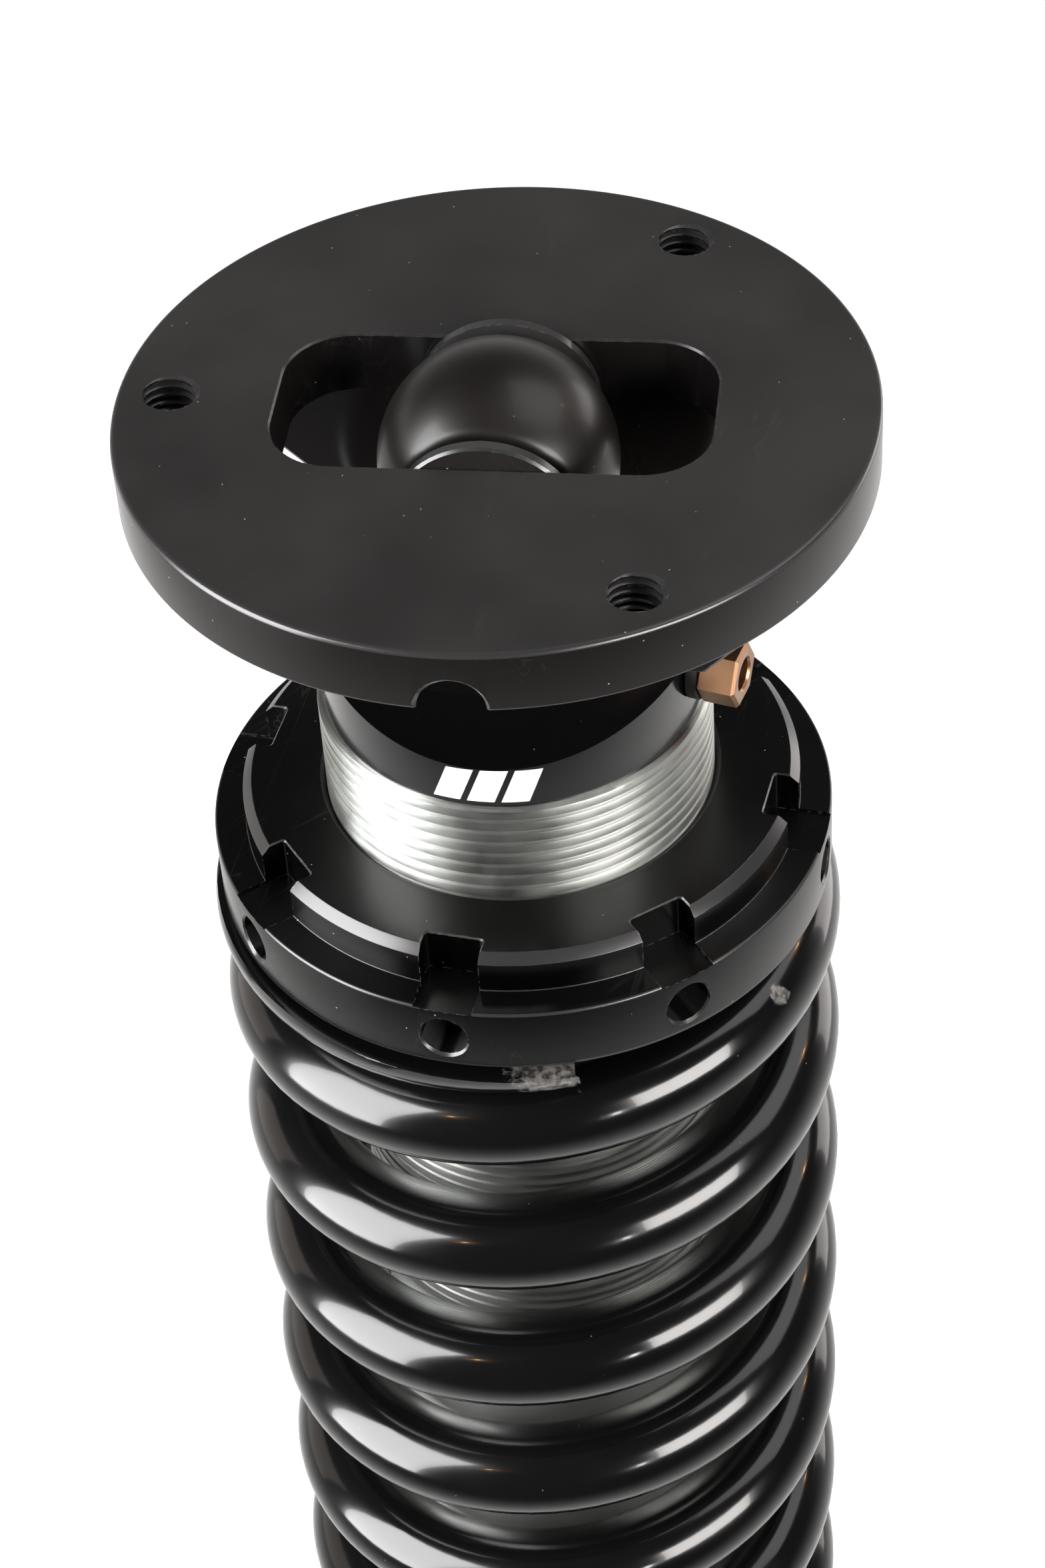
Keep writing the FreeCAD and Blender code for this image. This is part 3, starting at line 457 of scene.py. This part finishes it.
def plated(name, colour, rough, stain=0.5, turned=True):
    """Plated or bare metal with faint stains and small nicks, and lathe marks if turned."""
    look = Look(name, Metallic=1.0)
    patch = look.remap(look.noise(45.0, 4.0), 0.4, 0.7)
    base = look.mix(look.times(patch, stain), colour, scaled(colour, 0.62))
    look.put("Base Color", look.speckled(base, 520.0, 0.06, 0.5, (0.9, 0.9, 0.88)))
    look.put("Roughness", look.remap(look.noise(160.0, 3.0), 0.3, 0.7, rough, rough + 0.14))
    if turned:
        look.turned_grain(0.75)
        where = look.add("ShaderNodeMapping", Vector=look.place,
                         Scale=(60.0, 60.0, 5200.0)).outputs[0]
        return look.bump(look.noise(1.0, 3.0, where), 0.00002, 0.3)
    return look.bump(look.noise(1400.0, 3.0), 0.00002, 0.25)


def soft_black(name, tone, rough, scale):
    """Rubber, urethane or nylon with a fine pebbled surface."""
    look = Look(name)
    look.put("Base Color", look.mix(look.noise(scale / 6), (tone * 0.7,) * 3, (tone * 1.2,) * 3))
    look.put("Roughness", look.remap(look.noise(scale / 3), 0.3, 0.7, rough, rough + 0.1))
    return look.bump(look.noise(scale, 2.0), 0.00005, 0.4)


def white_print():
    look = Look("white_print")
    look.put("Base Color", look.mix(look.remap(look.noise(900.0, 4.0), 0.55, 0.75),
                                    (0.86, 0.87, 0.88), (0.6, 0.61, 0.63)))
    look.put("Roughness", look.remap(look.noise(300.0), 0.3, 0.7, 0.4, 0.55))
    return look.material


def pale_floor():
    look = Look("pale_floor", Emission_Color=(1.0, 1.0, 1.0, 1.0), Emission_Strength=0.55)
    look.put("Base Color", look.mix(look.noise(3.0), (0.86, 0.86, 0.86), (0.9, 0.9, 0.9)))
    look.put("Roughness", look.remap(look.noise(8.0), 0.3, 0.7, 0.7, 0.8))
    return look.material


# ------------------------------------------------------------------ coil spring

WIRE_RADIUS = 8.5
WIRE_POINTS = 40
COIL_RADIUS = 46.6
OPEN_PITCH = 33.15
CLOSED_PITCH = 16.0
RAMP = (0.8, 1.05)
TIP_ANGLE = 290.0
TIP_ABOVE = 1.6
TIP_CUT = 0.013
STEPS_PER_TURN = 84


def end_drop(turns):
    """Drop of the wire's centre over one end of the coil: closed first, then open."""
    start, end = RAMP
    if turns < start:
        return CLOSED_PITCH * turns
    if turns < end:
        share = (turns - start) / (end - start)
        return CLOSED_PITCH * turns + (OPEN_PITCH - CLOSED_PITCH) * share * (turns - start) / 2
    middle = (start + end) / 2
    return CLOSED_PITCH * middle + OPEN_PITCH * (turns - middle)


half_drop = SPRING_LENGTH / 2 + TIP_ABOVE
coil_turns = 2 * (RAMP[1] + (half_drop - end_drop(RAMP[1])) / OPEN_PITCH)


def coil_centre(turns):
    """Centre of the wire after that many turns down from the top tip."""
    drop = end_drop(turns)
    if turns > coil_turns / 2:
        drop = 2 * half_drop - end_drop(coil_turns - turns)
    angle = math.radians(TIP_ANGLE) - 2 * math.pi * turns
    return Vector((COIL_RADIUS * math.cos(angle), COIL_RADIUS * math.sin(angle),
                   spring_top + TIP_ABOVE - drop))


def wire_section(turns, chance=None):
    """The wire's outline at a turn, flat where it is ground, and ragged if chance is given."""
    nearby = 0.002
    centre = coil_centre(turns)
    ahead = coil_centre(min(turns + nearby, coil_turns)) - coil_centre(max(turns - nearby, 0))
    outward = Vector((centre.x, centre.y, 0)).normalized()
    tangent = ahead.normalized()
    side = (outward - tangent * outward.dot(tangent)).normalized()
    up = side.cross(tangent)
    ring = []
    for i in range(WIRE_POINTS):
        angle = 2 * math.pi * i / WIRE_POINTS
        point = centre + (side * math.cos(angle) + up * math.sin(angle)) * WIRE_RADIUS
        if chance:
            point += tangent * chance.uniform(-0.3, 1.3)
        point.z = min(max(point.z, spring_bottom), spring_top)
        ring.append(tuple(point))
    return ring


def make_spring():
    """Round wire with closed ends, ground flat, and a ragged cut at the top tip."""
    steps = int(coil_turns * STEPS_PER_TURN)
    rings = []
    for k in range(steps + 1):
        turns = TIP_CUT + (coil_turns - 2 * TIP_CUT) * k / steps
        rings.append(wire_section(turns, random.Random(7) if k == 0 else None))
    spring = loft("spring", rings, 40.0)
    chips = [(coil_centre(TIP_CUT + 0.006) + Vector((-1, -6, 0)), 8.5),
             (coil_centre(0.886) + Vector((5.2, -2.9, 5.9)), 2.4)]
    spring.data.materials.append(spring_paint(chips))
    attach(spring, "spring_seat")
    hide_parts("coil_spring")
    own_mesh(spring)


# ------------------------------------------------------------------ damper body

THREAD_PITCH = 2.5
THREAD_BOTTOM = -190.0
THREAD_DEPTH = 0.55
THREAD_STEP = 1.0
TUBE_BORE = 30.0


def make_tube():
    """Plated tube: flat-crested thread above, plain below, open bore."""
    crest, root, plain = tube_radius, tube_radius - THREAD_DEPTH, tube_radius - THREAD_STEP
    profile = [(0.0, crest - 0.06), (0.05, crest), (0.35, crest), (0.66, crest),
               (0.71, crest - 0.06), (0.81, root + 0.05), (0.84, root), (0.89, root)]
    foot = [(plain, tube_low.z + 1.0), (plain - 0.3, tube_low.z + 0.3),
            (plain - 1.0, tube_low.z), (TUBE_BORE, tube_low.z)]
    columns = []
    for k in range(AROUND + 1):
        share = k / AROUND
        x, y = math.cos(2 * math.pi * share), math.sin(2 * math.pi * share)
        column = [(TUBE_BORE * x, TUBE_BORE * y, tube_high.z)]
        column += thread_column(profile, THREAD_PITCH, THREAD_BOTTOM, tube_high.z, plain, share)
        column += [(r * x, r * y, z) for r, z in foot]
        columns.append(column)
    tube = skin("tube", columns, 35.0)
    tube.data.materials.append(plated("zinc_thread", (0.55, 0.565, 0.54), 0.36, 0.25))
    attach(tube, "damper_body")
    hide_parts("damper_tube")


CAP_RADIUS = 32.6
CAP_SHOULDER = -30.0
CAP_BOTTOM = -57.0
SPIGOT_RADIUS = 29.85
GROOVE_TOP = -68.0
GROOVE_BOTTOM = -70.6
GROOVE_DEPTH = 2.6
SCOOP_FLOOR = -49.0
SCOOP_RADIUS = 72.0
BLADE_HALF = 15.0
NECK_RADIUS = 15.6
EYE_RADIUS = 19.5
EYE_HALF = 13.0
EYE_AROUND = 128
RACE_RADIUS = 13.0
RACE_HALF = 8.45
PORT_ANGLE = -15.0
PORT_START = 34.4
PORT_END = 41.0
PORT_FLATS = 10.0


def at_port(item):
    """Moves a shape drawn along Y, at height 0, to the port's direction and height."""
    return shift(turn_about_z(item, PORT_ANGLE - 90), z=port_z)


def cap_drum():
    """The cap's band and its spigot, with the O-ring groove."""
    groove_floor = SPIGOT_RADIUS - GROOVE_DEPTH
    return lathe("cap", soften([
        (0, cap_foot, 0), (SPIGOT_RADIUS, cap_foot, 1), (SPIGOT_RADIUS, GROOVE_BOTTOM),
        (groove_floor, GROOVE_BOTTOM), (groove_floor, GROOVE_TOP), (SPIGOT_RADIUS, GROOVE_TOP),
        (SPIGOT_RADIUS, CAP_BOTTOM), (CAP_RADIUS, CAP_BOTTOM, 0.2),
        (CAP_RADIUS, CAP_SHOULDER, 2), (0, CAP_SHOULDER, 0)]))


def scoop(side):
    """The round scoop that leaves the blade under the eye, on one side of it."""
    near, far = side * BLADE_HALF, side * 40.0
    outline = [(0, near), (SCOOP_RADIUS, near), (SCOOP_RADIUS, far), (0, far)]
    return lathe("scoop", outline, True, SCOOP_FLOOR + SCOOP_RADIUS, 256)


def eye_ball():
    """A ball with two flats, softened at their rims."""
    flat = math.sqrt(EYE_RADIUS ** 2 - EYE_HALF ** 2)
    limit = math.asin(EYE_HALF / EYE_RADIUS)
    angles = [limit * (2 * i / 40 - 1) for i in range(1, 40)]
    arc = [(EYE_RADIUS * math.cos(a), EYE_RADIUS * math.sin(a)) for a in angles]
    front = [(0, -EYE_HALF), (flat - 0.5, -EYE_HALF), (flat + 0.05, 0.25 - EYE_HALF)]
    back = [(flat + 0.05, EYE_HALF - 0.25), (flat - 0.5, EYE_HALF), (0, EYE_HALF)]
    return lathe("ball", front + arc + back, True, bolt_z, EYE_AROUND)


def eye_neck():
    """A round neck, flattened just inside the eye's width."""
    flat = EYE_HALF - 0.02
    outline = []
    for degrees in range(0, 360, 5):
        x = NECK_RADIUS * math.cos(math.radians(degrees))
        y = NECK_RADIUS * math.sin(math.radians(degrees))
        outline.append((x, max(min(y, flat), -flat)))
    return loft("neck", [[(x, y, CAP_SHOULDER - 4) for x, y in outline],
                         [(x, y, bolt_z) for x, y in outline]])


def eye_bore():
    """The eye's bore with flared mouths, a little narrower than the bearing's seat."""
    edge, lead = 0.6, 3.0
    narrow, wide = RACE_RADIUS - 0.4, RACE_RADIUS + 3.2
    return lathe("bore", [(0, -EYE_HALF - lead), (wide, -EYE_HALF - lead),
                          (narrow, -EYE_HALF + edge), (narrow, EYE_HALF - edge),
                          (wide, EYE_HALF + lead), (0, EYE_HALF + lead)], True, bolt_z, EYE_AROUND)


def race_seat():
    outline = [(0, -RACE_HALF), (RACE_RADIUS, -RACE_HALF), (RACE_RADIUS, RACE_HALF), (0, RACE_HALF)]
    return lathe("race_seat", outline, True, bolt_z, EYE_AROUND)


def port_hole():
    start, lead, face, bore, mouth = 24, 31.9, 33.4, 4.2, 5.2
    outline = [(0, start), (bore, start), (bore, lead), (mouth, face), (0, face)]
    return at_port(lathe("port_hole", outline, True, 0, 48))


def make_cap():
    """Gloss black cap: band, two scooped sides, and the ball-shaped eye."""
    drum = cap_drum()
    for side in (1, -1):
        cut(drum, scoop(side))
    fuse(drum, eye_neck(), eye_ball())
    cut(drum, eye_bore(), race_seat())
    cut(drum, port_hole())
    drum.data.materials.append(gloss_paint("gloss_black", 0.004, 0.16, CAP_SHOULDER))
    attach(drum, "damper_body")
    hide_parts("eye_cap")


def slanted_bar(name, start):
    """A thin slanted bar that hugs the cap's band from the start angle, in degrees."""
    low, high, width, lean = -56.0, -49.2, 8.0, 4.5
    under, over = CAP_RADIUS - 0.05, CAP_RADIUS + 0.03
    columns, rows = 10, 4
    rings = []
    for column in range(columns + 1):
        loop = []
        for radius, order in ((under, range(rows + 1)), (over, reversed(range(rows + 1)))):
            for row in order:
                up = row / rows
                angle = math.radians(start + width * column / columns + lean * up)
                loop.append((radius * math.cos(angle), radius * math.sin(angle),
                             low + (high - low) * up))
        rings.append(loop)
    return loft(name, rings)


def make_bars():
    """Three plain bars printed on the front of the cap's band."""
    first, apart = -107.0, 10.0
    paint = white_print()
    for number in range(3):
        bar = slanted_bar("printed_bar_" + str(number + 1), first + apart * number)
        bar.data.materials.append(paint)
        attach(bar, "damper_body")


def hose_fitting():
    """Hexagon with softened ends and a bore, drawn along Y."""
    corner = PORT_FLATS / math.sqrt(3)
    rings = []
    for inset, along in ((0.5, PORT_START), (0.0, PORT_START + 0.5),
                         (0.0, PORT_END - 0.5), (0.6, PORT_END)):
        rings.append([(across, along, up) for across, up in hexagon(corner - inset)])
    fitting = loft("fitting", rings)
    bore, mouth, over = 2.8, 3.6, PORT_END + 0.6
    hole = soften([(0, PORT_END - 6), (bore, PORT_END - 6), (bore, PORT_END - 0.4),
                   (mouth, over), (0, over)], 0.1)
    cut(fitting, lathe("hole", hole, True, 0, 64))
    return fitting


def fitting_neck():
    """The fitting's bored neck, with a groove next to the hexagon, drawn along Y."""
    start, bore, outer, groove, collar = 25.5, 1.6, 4.1, 3.5, 4.4
    outline = [(bore, start), (outer, start), (outer, 33.0), (groove, 33.4), (groove, 33.8),
               (collar, 34.2), (collar, PORT_START), (bore, PORT_START)]
    return lathe("fitting_neck", soften(outline, 0.15), True, 0, 64)


def make_port():
    """Bronze-coloured hose fitting on its paler neck."""
    fitting, neck = hose_fitting(), fitting_neck()
    for item, colour, rough in ((fitting, (0.4, 0.22, 0.125), 0.28), (neck, (0.62, 0.58, 0.5), 0.2)):
        at_port(item)
        item.data.materials.append(plated(item.name + "_metal", colour, rough, 0.6, False))
        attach(item, "damper_body")
    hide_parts("port_fitting")


# ------------------------------------------------------------------ adjuster nut

BOSS_RADIUS = 48.0
BOSS_EDGE = 1.6
FLANGE_TOP = -84.0
NUT_BORE = 33.47
SPANNER_PLACES = 8
SPANNER_PHASE = -8.0
CASTLE_FLOOR = -84.4
CASTLE_INNER = 43.5
CASTLE_HALF = 5.0
PIN_Z = -90.5
PIN_RADIUS = 4.0
PIN_DEPTH = 9.0


def castle_slot(angle):
    """A slot through the boss, open outwards and a little flared at the top."""
    flare, over = 0.22, 1.0
    outer = FLANGE_RADIUS + 2
    rings = []
    for grow, z in ((0.0, CASTLE_FLOOR), (0.0, nut_high.z - flare), (flare, nut_high.z),
                    (flare + over, nut_high.z + over)):
        half, inner = CASTLE_HALF + grow, CASTLE_INNER - grow
        outline = soften([(inner, -half, 0.9), (outer, -half, 0), (outer, half, 0),
                          (inner, half, 0.9)], steps=5)
        rings.append([(x, y, z) for x, y in outline])
    return turn_about_z(loft("castle", rings), angle)


def pin_hole(angle):
    """A spanner hole in the flange's rim, with a small lead."""
    face = FLANGE_RADIUS - 0.02
    lead, over = 0.45, 0.95
    hole = lathe("pin_hole", [
        (0, face - PIN_DEPTH), (PIN_RADIUS - 0.8, face - PIN_DEPTH + 0.4),
        (PIN_RADIUS, face - PIN_DEPTH + 1.4), (PIN_RADIUS, face - lead),
        (PIN_RADIUS + lead + over, face + over), (0, face + over)], True, 0, 48)
    return shift(turn_about_z(hole, angle - 90), z=PIN_Z)


def make_nut():
    """Flanged nut with eight castle slots in its boss and eight spanner holes in its rim."""
    nut = lathe("nut", soften([
        (NUT_BORE, nut_low.z), (FLANGE_RADIUS, nut_low.z, 1.2), (FLANGE_RADIUS, FLANGE_TOP, 0.6),
        (BOSS_RADIUS, FLANGE_TOP, 0.2), (BOSS_RADIUS, nut_high.z - BOSS_EDGE, 0.15),
        (BOSS_RADIUS - BOSS_EDGE, nut_high.z, 0.15), (NUT_BORE + 1, nut_high.z, 0.2),
        (NUT_BORE, nut_high.z - 1, 0.1)]), around=288)
    angles = [SPANNER_PHASE + 360 / SPANNER_PLACES * place for place in range(SPANNER_PLACES)]
    for shape in (castle_slot, pin_hole):
        for angle in angles:
            cut(nut, shape(angle))
    nut.data.materials.append(anodised("nut_black", 0.0024, 0.24, 0.17, True))
    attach(nut, "adjuster")
    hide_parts("adjuster_nut")


# ------------------------------------------------------------------ top mount

SLOT_HALF_X = 35.0
SLOT_HALF_Y = 17.25
SLOT_CORNER = 11.0
EAR_OUTER = 31.25
EAR_HALF = 42.0
EAR_BEVEL = 7.0
POCKET_RADIUS = 9.5
POCKET_LENGTH = 14.0
NOTCH_RADIUS = 5.3
STUD_CIRCLE = 52.5
STUD_ANGLES = (180, 60, -60)
STUD_MINOR = 4.25
STUD_MAJOR = 4.98
STUD_PITCH = 1.5
WASHER = 2.0
SHANK_RADIUS = 5.0
HEAD_RADIUS = 8.0
HEAD_LENGTH = 10.0
SOCKET_RADIUS = 2.9


def ear_block(side):
    """One ear under the plate, drawn from the side and bevelled below."""
    top, low = bolt_z + 0.5, plate_low.z
    outline = [(-EAR_HALF, top), (-EAR_HALF, low + EAR_BEVEL), (-EAR_HALF + EAR_BEVEL, low),
               (EAR_HALF - EAR_BEVEL, low), (EAR_HALF, low + EAR_BEVEL), (EAR_HALF, top)]
    near, far = side * SLOT_HALF_Y, side * EAR_OUTER
    soft = 0.4
    rings = []
    for inset, y in ((soft, near), (0.0, near + side * soft), (0.0, far - side * soft),
                     (soft, far)):
        rings.append([(x * (1 - inset / EAR_HALF), y, z + (inset if z < top else 0))
                      for x, z in outline])
    return loft("ear", rings)


def stud_tap(angle):
    """A tapped hole's shape, running a little past both faces of the plate."""
    profile = [(0.0, STUD_MINOR), (0.12, STUD_MINOR), (0.42, STUD_MAJOR), (0.55, STUD_MAJOR),
               (0.85, STUD_MINOR)]
    top, bottom = 0.6, -PLATE_THICK - 0.6
    around = 48
    columns = []
    for k in range(around + 1):
        thread = thread_column(profile, STUD_PITCH, bottom, top, STUD_MINOR, k / around)
        columns.append([(0.0, 0.0, top)] + thread + [(0.0, 0.0, bottom)])
    x = STUD_CIRCLE * math.cos(math.radians(angle))
    y = STUD_CIRCLE * math.sin(math.radians(angle))
    return shift(skin("tap", columns), x, y)


def eye_slot():
    """The plate's long slot, a little flared at the top."""
    flare, over = 0.3, 1.0
    rings = []
    for grow, z in ((0.0, -PLATE_THICK - 20), (0.0, -flare), (flare, 0.0), (flare + over, over)):
        outline = rounded_rectangle(SLOT_HALF_X + grow, SLOT_HALF_Y + grow, SLOT_CORNER + grow)
        rings.append([(x, y, z) for x, y in outline])
    return loft("slot", rings)


def head_pocket(side):
    """Room for the bolt's head or nut, outside an ear."""
    near, far = side * EAR_OUTER, side * (EAR_OUTER + POCKET_LENGTH)
    outline = [(0, near), (POCKET_RADIUS, near), (POCKET_RADIUS, far), (0, far)]
    return lathe("pocket", outline, True, bolt_z, 96)


def key_notch(side):
    """The way through the rim to the cross bolt, with a small flare."""
    rim, start = side * (plate_radius - 0.15), side * 20
    flare, over = 0.7, 1.5
    return lathe("notch", [
        (0, start), (NOTCH_RADIUS, start), (NOTCH_RADIUS, rim - side * flare),
        (NOTCH_RADIUS + flare, rim), (NOTCH_RADIUS + flare + over, rim + side * over),
        (0, rim + side * over)], True, bolt_z, 96)


def make_plate():
    """Round plate with its slot, tapped holes, key notches and the two ears."""
    plate = lathe("plate", soften([
        (0, -PLATE_THICK, 0), (plate_radius, -PLATE_THICK, 0.6), (plate_radius, 0, 1.0),
        (0, 0, 0)], steps=5), around=256)
    fuse(plate, ear_block(1), ear_block(-1))
    cut(plate, eye_slot(), *[stud_tap(angle) for angle in STUD_ANGLES])
    for side in (1, -1):
        cut(plate, head_pocket(side), key_notch(side))
    plate.data.materials.append(anodised("plate_black", 0.026, 0.42, 0.18))
    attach(plate, "top_mount")
    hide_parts("top_plate")


def make_bolt():
    """Cross bolt with a bevelled head and a hexagonal socket."""
    shoulder = -EAR_OUTER - WASHER
    face = bolt_low.y
    bolt = lathe("bolt", soften([
        (0, bolt_high.y, 0), (SHANK_RADIUS, bolt_high.y, 0.8), (SHANK_RADIUS, shoulder),
        (HEAD_RADIUS, shoulder, 0.4), (HEAD_RADIUS, shoulder - HEAD_LENGTH, 0.8),
        (0, shoulder - HEAD_LENGTH, 0)], 0.1), True, bolt_z, 96)
    rings = []
    for y, radius in ((face - 1, SOCKET_RADIUS), (face + 0.2, SOCKET_RADIUS),
                      (face + 4.5, SOCKET_RADIUS - 0.02)):
        rings.append([(across, y, bolt_z + up) for across, up in hexagon(radius)])
    cut(bolt, loft("socket", rings))
    bolt.data.materials.append(plated("bolt_steel", (0.3, 0.3, 0.31), 0.22, 0.5, False))
    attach(bolt, "top_mount")
    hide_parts("cross_bolt")


# ------------------------------------------------------------------ CAD nodes

def dress_nodes():
    """Gives every CAD node the material of its own slot."""
    looks = {
        "gloss_black": gloss_paint("lower_gloss_black", 0.004, 0.2),
        "black_oxide": plated("black_oxide", (0.07, 0.07, 0.075), 0.3, 0.4, False),
        "plated_steel": plated("plated_steel", (0.6, 0.6, 0.58), 0.25, 0.5, False),
        "hard_anodised_grey": anodised("hard_anodised_grey", 0.045, 0.32, 0.3),
        "bearing_steel": plated("bearing_steel", (0.5, 0.5, 0.51), 0.15, 0.2, False),
        "chrome": plated("chrome", (0.8, 0.8, 0.81), 0.06, 0.05, False),
        "raw_aluminium": plated("raw_aluminium", (0.72, 0.72, 0.73), 0.3, 0.3),
        "spring_steel": plated("spring_steel", (0.45, 0.45, 0.47), 0.2, 0.3, False),
        "bronze": plated("bronze", (0.42, 0.28, 0.17), 0.3, 0.5, False),
        "black_rubber": soft_black("black_rubber", 0.012, 0.5, 1800.0),
        "urethane": soft_black("urethane", 0.02, 0.45, 1200.0),
        "nylon": soft_black("nylon", 0.015, 0.4, 1500.0),
        "zinc_plated": plated("zinc_plated", (0.66, 0.67, 0.65), 0.25),
        "black_anodised": anodised("black_anodised", 0.012, 0.3),
        "spring_black": bpy.data.materials["spring_black"],
    }
    for part in frame["record"]["subparts"]:
        slots = frame["nodes"][part["node"]].data.materials
        slots.clear()
        slots.append(looks[part["material_slot"]])


# ------------------------------------------------------------------ stage

# Metres, apart from the camera: millimetres for its place, lens and sensor, degrees for its turn.
VIEW_MIDDLE = Vector((0.0, 0.0, -0.13))
SKY_DIM = 0.05
SKY_BRIGHT = 1.0
SKY_TOWARD = (0.03, 0.55, -0.83)
CAMERA_PLACE = Vector((74.01, -457.94, 347.37))
CAMERA_TURN = (9.17, 47.19, -4.05)
CAMERA_LENS = 83.88
SENSOR = 36.0
FLOOR_SIZE = 30.0
FLOOR_GAP = 0.002
WARM = (1.0, 0.55, 0.25)


def softbox(name, azimuth, elevation, width, height, radiance, colour=(1, 1, 1)):
    """A lamp facing the middle of the view from a metre away, its size in metres."""
    lamp = bpy.data.lights.new(name, "AREA")
    lamp.shape = "RECTANGLE"
    lamp.size, lamp.size_y = width, height
    lamp.energy = radiance * math.pi * width * height
    lamp.color = colour
    item = bpy.data.objects.new(name, lamp)
    bpy.context.scene.collection.objects.link(item)
    a, e = math.radians(azimuth), math.radians(elevation)
    away = Vector((math.cos(e) * math.cos(a), math.cos(e) * math.sin(a), math.sin(e)))
    item.location = VIEW_MIDDLE + away
    item.rotation_euler = away.to_track_quat("Z", "Y").to_euler()


def make_lights():
    softbox("left_softbox", -155.0, 13.0, 0.72, 1.2, 11.5)
    softbox("right_softbox", -40.0, 20.0, 0.6, 0.45, 13.0, (1.0, 0.97, 0.94))
    softbox("right_fill", 42.0, 3.0, 0.5, 0.6, 2.8, (1.0, 0.95, 0.93))
    softbox("left_fill", 160.0, 3.0, 0.45, 0.6, 0.6, (1.0, 0.88, 0.8))
    softbox("overhead_fill", 20.0, 58.0, 0.7, 0.7, 1.5)
    softbox("small_lamp", -63.0, 8.0, 0.05, 0.09, 26.0)
    softbox("warm_lamp_left", -123.0, 35.0, 0.03, 0.03, 40.0, WARM)
    softbox("warm_lamp_right", 26.0, 38.0, 0.03, 0.03, 40.0, WARM)


def make_world():
    """Dark studio above and in front, pale sweep below and behind."""
    world = bpy.data.worlds.new("studio")
    bpy.context.scene.world = world
    world.use_nodes = True
    tree = world.node_tree
    background = tree.nodes["Background"]
    toward = tree.nodes.new("ShaderNodeVectorMath")
    toward.operation = "DOT_PRODUCT"
    toward.inputs[1].default_value = SKY_TOWARD
    level = tree.nodes.new("ShaderNodeMapRange")
    level.interpolation_type = "SMOOTHSTEP"
    level.inputs["From Min"].default_value = -0.1
    level.inputs["From Max"].default_value = 0.9
    level.inputs["To Min"].default_value = SKY_DIM
    level.inputs["To Max"].default_value = SKY_BRIGHT
    place = tree.nodes.new("ShaderNodeTexCoord").outputs["Generated"]
    tree.links.new(place, toward.inputs[0])
    tree.links.new(toward.outputs["Value"], level.inputs["Value"])
    tree.links.new(level.outputs[0], background.inputs["Strength"])
    background.inputs["Color"].default_value = (1.0, 0.985, 0.97, 1.0)


def make_floor():
    """A plain pale floor that the camera sees and the object's paint doesn't reflect."""
    bpy.ops.mesh.primitive_grid_add(size=FLOOR_SIZE, x_subdivisions=4, y_subdivisions=4,
                                    location=(0, 0, cad_low.z - FLOOR_GAP))
    floor = bpy.context.object
    floor.name = "floor"
    floor.data.materials.append(pale_floor())
    floor.visible_glossy = False
    floor.visible_diffuse = False


def make_camera():
    """A long lens above the front, a little to the right and slightly rolled."""
    camera = bpy.data.cameras.new("camera")
    camera.lens = CAMERA_LENS
    camera.sensor_width = SENSOR
    camera.clip_start = 0.01
    item = bpy.data.objects.new("camera", camera)
    bpy.context.scene.collection.objects.link(item)
    yaw, pitch, roll = (math.radians(v) for v in CAMERA_TURN)
    turn = (Matrix.Rotation(yaw, 4, "Z") @ Matrix.Rotation(pitch, 4, "X")
            @ Matrix.Rotation(roll, 4, "Z"))
    item.matrix_world = Matrix.Translation(CAMERA_PLACE * MM) @ turn
    bpy.context.scene.camera = item


make_camera()
make_world()
make_floor()
make_lights()
make_spring()
make_tube()
make_cap()
make_bars()
make_port()
make_nut()
make_plate()
make_bolt()
dress_nodes()
bpy.context.scene.view_settings.view_transform = "Standard"
